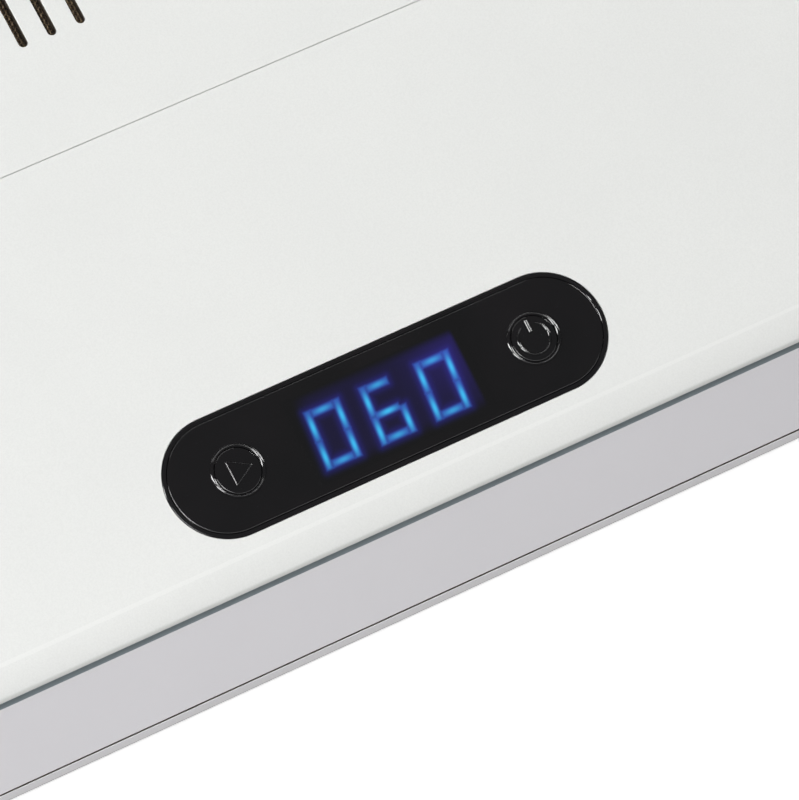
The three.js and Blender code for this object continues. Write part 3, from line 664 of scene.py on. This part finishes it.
def make_base():
    top = BASE_TOP + GAP / 2 - SEAM_SHOWN
    upper = slab("z", plan_outline, (LIP_BOTTOM, BASE_TOP + LIP_RADIUS), LIP_RADIUS)
    skirt = slab("z", plan_outline(SKIRT_INSET), (BASE_BOTTOM, LIP_BOTTOM + LIP_RADIUS))
    shell = join(common(body_form(0), upper, between(0, top)), skirt)

    in_front = block((-FAR, FAR), (-FAR, -WALL), (0, FAR))
    behind = block((-FAR, FAR), (0, FAR), (0, FAR))
    skirt_inside = slab("z", plan_outline(SKIRT_INSET + WALL), (0, CREASE_Z + 1))
    works = join(
        common(body_form(WALL), between(CREASE_Z, RIM_BOTTOM)),
        common(body_form(RIM_WIDTH), between(CREASE_Z, SHELF_UNDERSIDE)),
        skirt_inside,
    )
    tub = join(
        common(body_form(WALL), between(TUB_FLOOR, RIM_BOTTOM)),
        common(body_form(RIM_WIDTH), between(TUB_FLOOR, FAR)),
    )
    under_floor = common(skirt_inside, between(0, TUB_FLOOR - WALL))
    shell = cut(shell, common(works, in_front), common(tub, behind), under_floor)

    added = []
    removed = []
    inside = common(body_form(1), between(BASE_BOTTOM, BASE_TOP - 1))
    for _, side, end in CORNERS:
        place = (side * SCREW_X, SCREW_Y[end])
        boss_top = SHELF_UNDERSIDE if end < 0 else TUB_FLOOR - 1
        added.append(common(rod("z", place, SCREW["boss"], (BASE_BOTTOM, boss_top)), inside))
        removed.append(rod("z", place, SCREW["radius"] + GAP, (0, SCREW["hole_top"])))
    for _, side in SIDES:
        magnet = (side * MAGNET_X, MAGNET_Y)
        added.append(rod("z", magnet, MAGNET["boss"], (MAGNET["boss_bottom"], BASE_TOP - 1)))
        removed.append(rod("z", magnet, MAGNET["radius"] + GAP / 2, (MAGNET["base_bottom"] - GAP, FAR)))
        x = side * HINGE_X
        near, far = BASE_KNUCKLE
        added += [knuckle(x - far, x - near, False), knuckle(x + near, x + far, False)]
        removed.append(pin_bore(x - far + 1, x + far - 1))
        corner = SCOOP["corner"]
        scoop = rounded(SCOOP["y"], (RIM_BOTTOM + SCOOP["above_rim"], FAR), corner, corner)
        grip = sorted((side * (HALF - SCOOP["depth"]), side * FAR))
        removed.append(slab("x", scoop, grip))
        post = (side * (PANEL_LENGTH / 2 - 0.4), 0)
        added.append(on_panel(rod("z", post, 2, (-9.6, -4))))
    deck = common(body_form(1), between(CREASE_Z, BASE_TOP))
    pad = slab("z", pill(PANEL_LENGTH + 8, PANEL_WIDTH + 6), (-5, -1))
    added.append(common(on_panel(pad), deck))
    removed.append(on_panel(slab("z", pill(PANEL_LENGTH + 0.26, PANEL_WIDTH + 0.26), (-2.5, 20))))
    removed.append(on_panel(slab("z", pill(*PANEL_OPENING), (-7, 0))))
    removed.append(block(HOT_AIR["x"], (-2 * WALL, 1), HOT_AIR["z"]))
    groove = (CREASE_Z - 0.8, CREASE_Z + 1.15)
    kept = slab("z", plan_outline(SKIRT_INSET + GROOVE_DEPTH), groove)
    removed.append(cut(slab("z", plan_outline(-1), groove), kept))
    seat = common(body_form(GASKET["outer"] - GAP), between(BASE_TOP - GASKET["drop"] - GAP, FAR))
    removed.append(cut(seat, body_form(GASKET["inner"] + GAP)))
    removed.append(rod("y", JACK["place"], JACK["radius"] + GAP, (BACK - 20, FAR)))
    shell = cut(join(shell, *added), *removed)
    shell = bevelled(shell, 0.11, lambda p: abs(p.z - top) < 0.01)
    shell = bevelled(shell, 0.25, lambda p: abs(p.z - BASE_BOTTOM) < 0.01)
    dress = [base_dress(face, groove) for face in shell.polygons]
    extra = ["crease_shadow", "skirt_painted_light", "painted_recess_shade"]
    piece("base_housing", shell, "base", "shell_white", ["base_shell"], extra=extra, dress=dress)


def make_cover():
    top = COVER_TOP - 0.12
    cover = slab("z", lambda inset: plan_outline(SKIRT_INSET + inset), (FOOT_HEIGHT, top), 0.6, 0.2, 4)
    lip = slab("z", plan_outline(COVER_LIP["outer"]), (COVER_TOP - 1, COVER_TOP + 3))
    hollow = slab("z", plan_outline(COVER_LIP["inner"]), (COVER_TOP - 2, COVER_TOP + 4))
    cover = join(cover, cut(lip, hollow))
    through = (0, 9)
    removed = []
    for name, side, end in CORNERS:
        removed.append(rod("z", plan_centre("foot_" + name), 2.4 + GAP, through))
        place = (side * SCREW_X, SCREW_Y[end])
        removed.append(rod("z", place, SCREW["radius"] + GAP, through))
        removed.append(rod("z", place, SCREW["head"] + GAP, (0, FOOT_HEIGHT + 1.4)))
    slot = pill(INTAKE["length"], INTAKE["width"], 12)
    for row in range(INTAKE["count"]):
        y = INTAKE["first_y"] + row * INTAKE["pitch"]
        removed.append(slab("z", [(a, y + b) for a, b in slot], through))
    plate = cut(cover, *removed)
    # The plate's top faces, seen in the parting gap, take painted shade.
    dress = [int(abs(face.center.z - top) < 0.02 and face.normal.z > 0.9) for face in plate.polygons]
    extra = ["painted_recess_shade"]
    piece("bottom_plate", plate, "base", "cover_grey", ["bottom_cover"], extra=extra, dress=dress)


def make_feet():
    for name, *_ in CORNERS:
        profile = [(0, 0.5), (5.2, 0.5), (5.6, 0), (9, 0), (8.8, 2.2), (2.4, 2.2), (2.4, 7.5), (0, 7.5)]
        mesh = turned("z", plan_centre("foot_" + name), profile, 0.35)
        piece("rubber_foot_" + name, mesh, "base", "black_rubber", ["foot_" + name])
        place = plan_centre("cover_screw_" + name)
        profile = [(0, FOOT_HEIGHT), (2.6, FOOT_HEIGHT), (3, 3.1), (3, 3.6), (1.5, 3.6)]
        for turn in range(12):
            profile += [(1.5, 4.2 + turn * 0.95), (1.2, 4.6 + turn * 0.95)]
        profile += [(1, 15.6), (0, 16)]
        mesh = turned("z", place, profile, 0.08, sides=32)
        recess = [
            block((place[0] - a, place[0] + a), (place[1] - b, place[1] + b), (0, 3.3))
            for a, b in ((1.7, 0.32), (0.32, 1.7))
        ]
        piece("screw_" + name, cut(mesh, *recess), "base", "bright_steel", ["cover_screw_" + name])


# ---- Control panel ----


def panel_pill(inset):
    return pill(PANEL_LENGTH - 2 * inset, PANEL_WIDTH - 2 * inset)


def ribbon(points, width, height, base, closed=False):
    """A low rounded bead along a line on the panel's face."""
    section = [(-0.5, -0.5)]
    section += [(k / 16, 1 - abs(k / 8) ** 1.5) for k in range(-8, 9)]
    section.append((0.5, -0.5))
    rings = []
    count = len(points)
    for i, point in enumerate(points):
        before = Vector(points[i - 1] if closed or i else points[0])
        after = Vector(points[(i + 1) % count] if closed or i < count - 1 else points[-1])
        here = Vector(point)
        one = (here - before).normalized() if (here - before).length > 0 else (after - here).normalized()
        two = (after - here).normalized() if (after - here).length > 0 else one
        along = (one + two).normalized()
        across = Vector((-along.y, along.x)) / max(along.dot(one), 0.35)
        ring = []
        for side, up in section:
            spot = here + across * side * width
            ring.append((spot.x, spot.y, base + up * height))
        rings.append(ring)
    return loft(rings, closed)


BEZEL_TOP = 0.08
FACE_TOP = 0.1
FACE_PLAY = 0.08
RING = {"radius": 5.72, "width": 0.86, "height": 0.34}
BUTTON = {"stem": 1.4, "flange": 5.9, "cap": 5.16, "hole": 5.26, "bottom": -4.1, "low": -2.3, "high": -1.4}
BUTTON_TOP = 0.16
TRIANGLE = {"reach": 3.35, "corner": 0.35, "width": 0.36, "height": 0.16}
POWER = {"radius": 3.6, "turn": (118, 422), "width": 0.62, "height": 0.24}
POWER_BAR = {"v": (1.7, 1.78, 4.32, 4.4), "width": 0.72}


def button_profile():
    stem, flange, cap = BUTTON["stem"], BUTTON["flange"], BUTTON["cap"]
    bottom, low, high = BUTTON["bottom"], BUTTON["low"], BUTTON["high"]
    foot = [(0, bottom), (stem, bottom), (stem, low), (flange, low), (flange, high)]
    return [*foot, (cap, high), (cap, BUTTON_TOP), (0, BUTTON_TOP)]


def triangle_symbol(x):
    reach = TRIANGLE["reach"]
    tips = [(x - reach * 0.5, reach * 0.87), (x - reach * 0.5, -reach * 0.87), (x + reach, 0)]
    line = eased(tips, TRIANGLE["corner"], True)
    return [ribbon(line, TRIANGLE["width"], TRIANGLE["height"], BUTTON_TOP, True)]


def power_symbol(x):
    height = POWER["height"]
    ring = arc((x, 0), POWER["radius"], *POWER["turn"], 60)
    bar = [(x, v) for v in POWER_BAR["v"]]
    return [
        ribbon(ring, POWER["width"], height, BUTTON_TOP),
        ribbon(bar, POWER_BAR["width"], height, BUTTON_TOP),
    ]


def make_panel():
    profile = [(0, -2.2), (0, BEZEL_TOP), (BEZEL_RIM, BEZEL_TOP), (BEZEL_RIM, -1.4), (3, -1.4), (3, -2.2)]
    bezel = hoop(panel_pill, profile, 0.2)
    piece("panel_rim", on_panel(bezel), "base", "panel_black", ["panel_bezel"])

    rim = BEZEL_RIM + FACE_PLAY
    face = slab("z", lambda inset: panel_pill(rim + inset), (-1.1, FACE_TOP), 0.05, 0.26, 5)
    holes = []
    beads = []
    for _, side in SIDES:
        centre = (side * BUTTON_X, 0)
        holes.append(rod("z", centre, BUTTON["hole"], (-9, 5), 96))
        around = circle(centre, RING["radius"], 96)
        beads.append(ribbon(around, RING["width"], RING["height"], FACE_TOP, True))
    face = cut(face, *holes)
    piece("panel_plate", on_panel(merged([face, *beads])), "base", "panel_black", ["panel_face"], angle=50)

    for name, side in (("mode_button", -1), ("power_button", 1)):
        x = side * BUTTON_X
        cap = turned("z", (x, 0), button_profile(), 0.22, sides=96)
        symbol = triangle_symbol(x) if side < 0 else power_symbol(x)
        piece(name + "_cap", on_panel(merged([cap, *symbol])), name, "panel_black", [name], angle=50)


# ---- Display: three blurred digits behind the gloss face ----

DIGITS = ("abcdef", "acdefg", "abcdef")
DIGIT_PITCH = 13.5
DIGIT_X = -0.5
DIGIT_SLANT = math.tan(math.radians(4.2))
STROKE = {
    # centre x, centre v, half-length across, half-length up
    "a": (0, 4.8, 2.55, 0.86),
    "b": (3.52, 2.2, 0.8, 3.5),
    "c": (3.52, -4.7, 0.8, 3.25),
    "d": (0, -7.1, 2.55, 0.84),
    "e": (-3.52, -4.7, 0.8, 3.25),
    "f": (-3.52, 2.2, 0.8, 3.5),
    "g": (0, -1.43, 2.7, 0.78),
}
DIGIT_REACH = 9
GLOW_EDGE = 0.42
HALO_REACH = 0.7
UPRIGHT_CORE = {"length": 1.55, "width": 0.37, "sink": 0.35}
LEVEL_CORE = {"length": 1.3, "width": 0.4}
END_PEAK = 0.6  # the top and bottom strokes are dimmer
HAZE = {"x": (-19.9, 20.6), "v": (-9.9, 9.8)}
EDGE_BLUE = Vector((0.022, 0.070, 0.37))
CORE_CYAN = Vector((0.040, 0.50, 0.86))
HALO_BLUE = Vector((0.006, 0.006, 0.085))
HAZE_BLUE = Vector((0.0045, 0.0025, 0.034))


def step(value, low, high):
    t = min(max((value - low) / (high - low), 0), 1)
    return t * t * (3 - 2 * t)


def glow_at(x, v):
    """The light that comes through the face at a point of it."""
    colour = Vector((0, 0, 0))
    halo = 0
    lit = 0
    core = 0
    for k, letters in enumerate(DIGITS):
        u = x - DIGIT_X - (k - 1) * DIGIT_PITCH - (v + 1) * DIGIT_SLANT
        if abs(u) > DIGIT_REACH:
            continue
        for letter in letters:
            cx, cv, half_x, half_v = STROKE[letter]
            dx = abs(u - cx) - half_x
            dv = abs(v - cv) - half_v
            outside = math.hypot(max(dx, 0), max(dv, 0)) + min(max(dx, dv), 0)
            lit = min(lit + step(-outside, -GLOW_EDGE, GLOW_EDGE), 1)
            if half_v > half_x:
                along = (v - cv + UPRIGHT_CORE["sink"]) / UPRIGHT_CORE["length"]
                across = (u - cx) / UPRIGHT_CORE["width"]
            else:
                along = (u - cx) / LEVEL_CORE["length"]
                across = (v - cv) / LEVEL_CORE["width"]
            peak = END_PEAK if letter in "ad" else 1
            core = max(core, peak * math.exp(-0.5 * (along**2 + across**2)))
            halo = max(halo, math.exp(-0.5 * (max(outside, 0) / HALO_REACH) ** 2))
    left, right = HAZE["x"]
    bottom, top = HAZE["v"]
    fade_x = step(x, left, left + 5) * step(-x, -right, -right + 1.2)
    fade_v = step(v, bottom, bottom + 3.5) * step(-v, -top, -top + 2.4)
    corner = step(x, 2, 18) * step(v, -9, 4)
    colour += HAZE_BLUE * fade_x * fade_v * (0.8 + 1.5 * corner)
    colour += HALO_BLUE * halo * (1 - lit)
    colour += EDGE_BLUE * lit * (1 - core) + CORE_CYAN * core * lit
    return colour


CASE = {"x": (-18.6, 19.4), "v": (-10.45, 8.55), "n": (-9.5, -1.5)}
WELL = {"pitch": 12.6, "half": 5.2, "v": (-8.6, 6.7), "n": (-2.3, 0)}


def case_outline(inset):
    sides, ends = CASE["x"], CASE["v"]
    return rounded((sides[0] + inset, sides[1] - inset), (ends[0] + inset, ends[1] - inset), 0.4, 0.4, 3)


def make_display_case():
    wells = []
    for k in (-1, 0, 1):
        x = DIGIT_X + k * WELL["pitch"]
        outline = rounded((x - WELL["half"], x + WELL["half"]), WELL["v"], 0.8, 0.8)
        wells.append(slab("z", outline, WELL["n"]))
    case = cut(slab("z", case_outline, CASE["n"], 0.2, 0.3, 3), *wells)
    piece("display_case", on_panel(case), "base", "display_blue", ["led_display"])


def make_display_lens():
    """A fine grid just above the face, whose glow attribute holds the digits."""
    pitch = 0.2
    left, right = -21.4, 22.4
    bottom, top = -10.6, 9.8
    columns = round((right - left) / pitch)
    rows = round((top - bottom) / pitch)
    mesh_points = []
    for level in (0.104, -0.3):
        for j in range(rows + 1):
            for i in range(columns + 1):
                mesh_points.append((left + i * pitch, bottom + j * pitch, level))
    faces = []
    layer = (rows + 1) * (columns + 1)
    for j in range(rows):
        for i in range(columns):
            a = j * (columns + 1) + i
            b = a + columns + 1
            faces.append((a, a + 1, b + 1, b))
            faces.append((layer + b, layer + b + 1, layer + a + 1, layer + a))
    rim = list(range(columns))
    rim += [columns + j * (columns + 1) for j in range(rows)]
    rim += [rows * (columns + 1) + i for i in range(columns, 0, -1)]
    rim += [j * (columns + 1) for j in range(rows, 0, -1)]
    for i, a in enumerate(rim):
        b = rim[(i + 1) % len(rim)]
        faces.append((b, a, layer + a, layer + b))
    mesh = bpy.data.meshes.new("display")
    mesh.from_pydata(mesh_points, [], faces)
    light = mesh.attributes.new("glow", "FLOAT_COLOR", "POINT")
    values = []
    for x, v, level in mesh_points:
        colour = glow_at(x, v) if level > 0 else Vector((0, 0, 0))
        values += [*colour, 1]
    light.data.foreach_set("color", values)
    mesh.transform(ON_PANEL)
    piece("display_lens", mesh, "base", "display_blue")


# ---- Lid ----


def window_region(grow):
    x = WINDOW["half"] + grow
    face = rounded((-x, x), (WINDOW["bottom"] - grow, FAR), WINDOW["corner"] + grow, 1, 16)
    top = rounded((-x, x), (-FAR, WINDOW["back"] + grow), 1, WINDOW["corner"] + grow, 16)
    return common(slab("y", face, (-FAR, FAR)), slab("z", top, (0, FAR)))


def slot_columns():
    return [side * (SLOT_FIRST_X + i * SLOT_PITCH) for _, side in SIDES for i in range(SLOT_COUNT)]


def vent_slot(x):
    length = SLOT_END - SLOT_START
    middle = SLOT_START + length / 2
    outline = [(x - b, middle + a) for a, b in pill(length, SLOT_WIDTH, 12)]
    return on_panel(slab("z", outline, (-20, 10)))


def crown_drop(v):
    """How far the crowned deck lies under the panel's plane."""
    return max(v - FLAT_HALF, 0) ** 2 / (2 * CROWN_RADIUS)


def make_lid():
    bottom = SEAM_Z - GAP / 2 + SEAM_SHOWN
    hollow = join(
        common(body_form(WALL), between(SEAM_Z + LID_RIM_HEIGHT, FAR)),
        common(body_form(RIM_WIDTH), between(0, SEAM_Z + LID_RIM_HEIGHT + 1)),
    )
    shell = cut(common(body_form(0), between(bottom, FAR)), hollow)
    rebate = cut(window_region(GAP / 2), body_form(WINDOW["thickness"] + GAP))
    shell = cut(shell, rebate, window_region(-WINDOW["ledge"]), *[vent_slot(x) for x in slot_columns()])
    added = []
    removed = []
    for name, side in SIDES:
        magnet = (side * MAGNET_X, MAGNET_Y)
        added.append(common(rod("z", magnet, MAGNET["boss"], (SEAM_Z, FAR)), body_form(1)))
        removed.append(rod("z", magnet, MAGNET["radius"] + GAP / 2, (0, MAGNET["lid_top"] + GAP)))
        x = side * HINGE_X
        added.append(knuckle(x - LID_KNUCKLE_HALF, x + LID_KNUCKLE_HALF, True))
        removed.append(pin_bore(x - 8, x + 8))
        removed.append(rod("z", plan_centre("outlet_fitting_" + name), OUTLET_HOLE, (200, FAR)))
    shell = cut(join(shell, *added), *removed)
    shell = bevelled(shell, 0.11, lambda p: abs(p.z - bottom) < 0.01)

    to_panel = ON_PANEL.inverted()

    def on_deck_by_slot(point):
        local = to_panel @ point
        near = SLOT_START - 1 < local.y < SLOT_END + 1 and local.z > -crown_drop(local.y) - 0.3
        return near and abs(local.x) < 60

    shell = bevelled(shell, 0.22, on_deck_by_slot, 3)
    # The slots' side walls take near-black painted shade.
    dress = []
    for face in shell.polygons:
        spot = to_panel @ face.center
        facing = (to_panel.to_3x3() @ face.normal).z
        in_slots = SLOT_START - 0.2 < spot.y < SLOT_END + 0.2 and 19 < abs(spot.x) < 60
        dress.append(int(in_slots and abs(facing) < 0.3 and spot.z < -crown_drop(spot.y) - 0.2))
    extra = ["painted_recess_shade"]
    piece("hood_housing", shell, "lid", "shell_white", ["lid_shell"], extra=extra, dress=dress)

    pane = common(cut(body_form(0), body_form(WINDOW["thickness"])), window_region(0))
    piece("window_pane", pane, "lid", "smoked_window", ["lid_window"])
    band = between(BASE_TOP - GASKET["drop"], BASE_TOP + 0.1)
    gasket = cut(common(body_form(GASKET["outer"]), band), body_form(GASKET["inner"]))
    piece("seal_ring", gasket, "base", "grey_silicone", ["rim_gasket"])


def wire(points, radius, sides=5):
    rings = []
    for i, point in enumerate(points):
        here = Vector(point)
        along = Vector(points[min(i + 1, len(points) - 1)]) - Vector(points[max(i - 1, 0)])
        side = along.cross(Vector((0, 0, 1))).normalized()
        up = side.cross(along).normalized()
        ring = []
        for k in range(sides):
            angle = 2 * math.pi * k / sides
            ring.append(tuple(here + side * math.cos(angle) * radius + up * math.sin(angle) * radius))
        rings.append(ring)
    return loft(rings)


def mesh_level(v):
    return -crown_drop(v) - WALL - GAP - 0.3


def vent_shade_sheet(ends, start, end):
    """A dark sheet under the wires, painted shade inside the vent, following the deck's crown in eight steps.
    """
    rings = []
    for j in range(9):
        v = start + (end - start) * j / 8
        top = mesh_level(v) - 0.36
        low = top - 0.25
        rings.append([(ends[0], v, top), (ends[1], v, top), (ends[1], v, low), (ends[0], v, low)])
    return loft(rings)


def make_vent_mesh():
    pitch = 0.75
    radius = 0.15
    sag = 0.13
    for name, side in SIDES:
        last_x = SLOT_FIRST_X + (SLOT_COUNT - 1) * SLOT_PITCH
        ends = sorted((side * (SLOT_FIRST_X - 3), side * (last_x + 3)))
        start, end = SLOT_START - 2.6, SLOT_END + 0.9
        columns = int((ends[1] - ends[0]) / pitch)
        rows = int((end - start) / pitch)
        meshes = []
        for i in range(columns + 1):
            x = ends[0] + i * pitch
            line = []
            for j in range(2 * rows + 1):
                v = start + j * pitch / 2
                wave = sag * math.cos(math.pi * (j / 2 + i))
                line.append((x, v, mesh_level(v) + wave))
            meshes.append(wire(line, radius))
        for j in range(rows + 1):
            v = start + j * pitch
            line = []
            for i in range(2 * columns + 1):
                wave = sag * math.cos(math.pi * (i / 2 + j))
                line.append((ends[0] + i * pitch / 2, v, mesh_level(v) - wave))
            meshes.append(wire(line, radius))
        woven = merged(meshes)
        count = len(woven.polygons)
        woven = merged([woven, vent_shade_sheet(ends, start, end)])
        dress = [int(i >= count) for i in range(len(woven.polygons))]
        look = {"angle": 60, "extra": ["vent_painted_shade"], "dress": dress}
        node = "vent_mesh_" + name
        piece("vent_screen_" + name, on_panel(woven), "lid", "vent_bronze", [node], **look)


def make_magnets(name):
    for node, body in (("base_magnet_" + name, "base"), ("lid_magnet_" + name, "lid")):
        low, high = cad(node)
        profile = [(0, low.z), (MAGNET["radius"], low.z), (MAGNET["radius"], high.z), (0, high.z)]
        mesh = turned("z", plan_centre(node), profile, 0.3)
        piece(node + "_disc", mesh, body, "bright_steel", [node])


def make_pin(name):
    node = "hinge_pin_" + name
    low, high = cad(node)
    profile = [(0, low.x), (PIN_RADIUS, low.x), (PIN_RADIUS, high.x), (0, high.x)]
    mesh = turned("x", (HINGE_Y, HINGE_Z), profile, 0.4)
    piece("pin_" + name, mesh, "base", "bright_steel", [node])


def make_outlet(name):
    """A flanged ring in the hood, and the ribbed plug that pulls out of it."""
    node = "outlet_fitting_" + name
    low, high = cad(node)
    port = plan_centre(node)
    flange = high.z - 1.4
    profile = [(3, low.z), (4.6, low.z), (5, low.z + 0.8), (5, flange), (9, flange), (9, high.z - 0.5)]
    profile += [(8.2, high.z), (5.2, high.z), (4.4, high.z - 0.4), (3, high.z - 0.9)]
    piece("outlet_ring_" + name, turned("z", port, profile, 0.2, True), "lid", "inner_plastic", [node])

    node = "outlet_plug_" + name
    low, high = cad(node)
    rim = high.z - 3.3
    profile = [(0, low.z), (2.2, low.z), (2.7, low.z + 1.2), (2.7, rim), (5.2, rim), (5.5, rim + 0.6)]
    for ridge in range(4):
        z = rim + 0.7 + ridge * 0.5
        profile += [(5.5, z), (5.2, z + 0.25)]
    profile += [(5.5, high.z - 0.5), (5.2, high.z), (2.6, high.z)]
    profile += [(1.8, high.z - 0.5), (0, high.z - 0.6)]
    mesh = turned("z", port, profile, 0.12)
    piece("outlet_stopper_" + name, mesh, "plug_" + name, "grey_silicone", [node])


def make_roller(name):
    """A steel shaft, its ribbed rubber sleeve and the two bearings that it turns in."""
    body = "roller_" + name
    node = "roller_shaft_" + name
    low, high = cad(node)
    at = ((low.x + high.x) / 2, (low.z + high.z) / 2)
    shaft, chamfer = 2.5, 0.5
    profile = [(0, low.y), (shaft - chamfer, low.y), (shaft, low.y + chamfer)]
    profile += [(shaft, high.y - chamfer), (shaft - chamfer, high.y), (0, high.y)]
    piece("shaft_" + name, turned("y", at, profile, 0.1), body, "bright_steel", [node])

    node = "roller_tyre_" + name
    low, high = cad(node)
    profile = [(2.7, low.y), (7.4, low.y), (8, low.y + 0.8)]
    ribs = 25
    rib_pitch = (high.y - low.y - 3) / ribs
    for rib in range(ribs):
        y = low.y + 1.5 + rib * rib_pitch
        profile += [(8, y), (8, y + rib_pitch * 0.55)]
        profile += [(7.5, y + rib_pitch * 0.7), (7.5, y + rib_pitch * 0.9)]
    profile += [(8, high.y - 1.4), (8, high.y - 0.8), (7.4, high.y), (2.7, high.y)]
    piece("tyre_" + name, turned("y", at, profile, 0.12, True), body, "black_rubber", [node])

    for end in ("front", "back"):
        node = "bearing_" + end + "_" + name
        low, high = cad(node)
        face = [(2.7, 0), (3.5, 0), (3.6, 0.35), (4.5, 0.35), (4.6, 0), (5.5, 0)]
        depth = high.y - low.y
        closed = face + [(r, depth - y) for r, y in reversed(face)]
        mesh = turned("y", at, [(r, low.y + y) for r, y in closed], 0.1, True)
        piece("race_" + end + "_" + name, mesh, "base", "bright_steel", [node])


def make_turned_parts():
    for name, _ in SIDES:
        make_magnets(name)
        make_pin(name)
        make_outlet(name)
        make_roller(name)


def dress_frame():
    """CAD nodes that keep their shape: fine rounding and a full finish."""
    for name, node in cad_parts.items():
        if node.hide_render:
            continue
        weld = node.modifiers.new("weld", "WELD")
        weld.merge_threshold = 1e-6
        edge = node.modifiers.new("edge", "BEVEL")
        edge.width = 0.00025
        edge.segments = 2
        edge.limit_method = "ANGLE"
        edge.angle_limit = math.radians(38)
        even = node.modifiers.new("even", "WEIGHTED_NORMAL")
        even.keep_sharp = True
        for polygon in node.data.polygons:
            polygon.use_smooth = True
        finish = finishes[KEPT_FINISH.get(name, "inner_plastic")]
        for i in range(len(node.data.materials)):
            node.data.materials[i] = finish
            node.material_slots[i].material = finish


KEPT_FINISH = {
    "mode_switch": "bright_steel",
    "power_switch": "bright_steel",
    "control_board": "circuit_board",
    "power_board": "circuit_board",
    "ptc_heater": "heater_fins",
    "thermal_cutout": "bright_steel",
}


# ---- Studio ----


def make_floor():
    """The floor, with walls and a ceiling far round it as a backdrop. Only the floor takes part in shadows."""
    reach = 60
    low = -0.0003
    corners = [(-reach, -reach), (reach, -reach), (reach, reach), (-reach, reach)]
    floor = bpy.data.meshes.new("floor")
    floor.from_pydata([(x, y, low) for x, y in corners], [], [(0, 1, 2, 3)])
    walls = bpy.data.meshes.new("backdrop")
    points = [(x, y, z) for z in (low - 1, reach) for x, y in corners]
    sides = [(i, (i + 1) % 4, (i + 1) % 4 + 4, i + 4) for i in range(4)]
    walls.from_pydata(points, [], [*sides, (7, 6, 5, 4)])
    for sheet in (floor, walls):
        sheet.materials.append(finishes["floor"])
        thing = placed(sheet.name, sheet)
        thing.visible_diffuse = False
        thing.visible_glossy = False
        thing.visible_shadow = sheet is floor


def softbox(name, azimuth, elevation, distance, size, power):
    """A rectangular light aimed at the object. Azimuth 0 is in front, and positive is to the left."""
    light = bpy.data.lights.new(name, "AREA")
    light.shape = "RECTANGLE"
    light.size = size[0]
    light.size_y = size[1]
    light.energy = power
    lamp = placed(name, light)
    a, e = math.radians(azimuth), math.radians(elevation)
    way = Vector((-math.sin(a) * math.cos(e), -math.cos(a) * math.cos(e), math.sin(e)))
    target = Vector((0, -0.05, 0.08))
    lamp.location = target + way * distance
    lamp.rotation_euler = way.to_track_quat("Z", "Y").to_euler()
    lamp.visible_camera = False


def make_lights():
    world = bpy.data.worlds.new("studio")
    bpy.context.scene.world = world
    world.use_nodes = True
    background = world.node_tree.nodes["Background"]
    background.inputs["Color"].default_value = (1, 1, 1, 1)
    background.inputs["Strength"].default_value = 0.1
    softbox("left_low", 54, 10, 1.7, (0.9, 0.3), 14)
    softbox("left_high", 82, 24, 1.7, (0.9, 0.3), 14)
    softbox("right", -88, 26, 1.7, (0.3, 0.9), 18)
    softbox("front", -6, 16, 0.9, (1.5, 0.26), 2.4)
    softbox("key", 17, 40, 1.0, (0.4, 0.3), 3.4)
    softbox("top", 180, 81, 1.7, (1.5, 0.34), 6)
    softbox("back", 180, 24, 1.9, (1.6, 0.7), 14)


def make_camera():
    azimuth, elevation, roll = (math.radians(d) for d in (20.381, 33.738, -12.42))
    distance = 1312.996
    aside, up_shift = -2.640, -0.887
    back = Vector((
        -math.sin(azimuth) * math.cos(elevation),
        -math.cos(azimuth) * math.cos(elevation),
        math.sin(elevation),
    ))
    right = Vector((0, 0, 1)).cross(back).normalized()
    up = back.cross(right)
    across = right * math.cos(roll) + up * math.sin(roll)
    upward = up * math.cos(roll) - right * math.sin(roll)
    spot = Vector((0, PANEL_Y, PANEL_Z)) + back * distance - across * aside - upward * up_shift
    lens = bpy.data.cameras.new("camera")
    lens.lens = 273.66
    lens.sensor_width = 36
    lens.clip_end = 500
    camera = placed("camera", lens)
    turn = Matrix((across, upward, back)).transposed().to_4x4()
    camera.matrix_world = Matrix.Translation(spot * MM) @ turn
    bpy.context.scene.camera = camera


bpy.context.scene.view_settings.view_transform = "Standard"
make_camera()
make_base()
make_cover()
make_feet()
make_panel()
make_display_lens()
make_display_case()
make_lid()
make_vent_mesh()
make_turned_parts()
dress_frame()
make_floor()
make_lights()
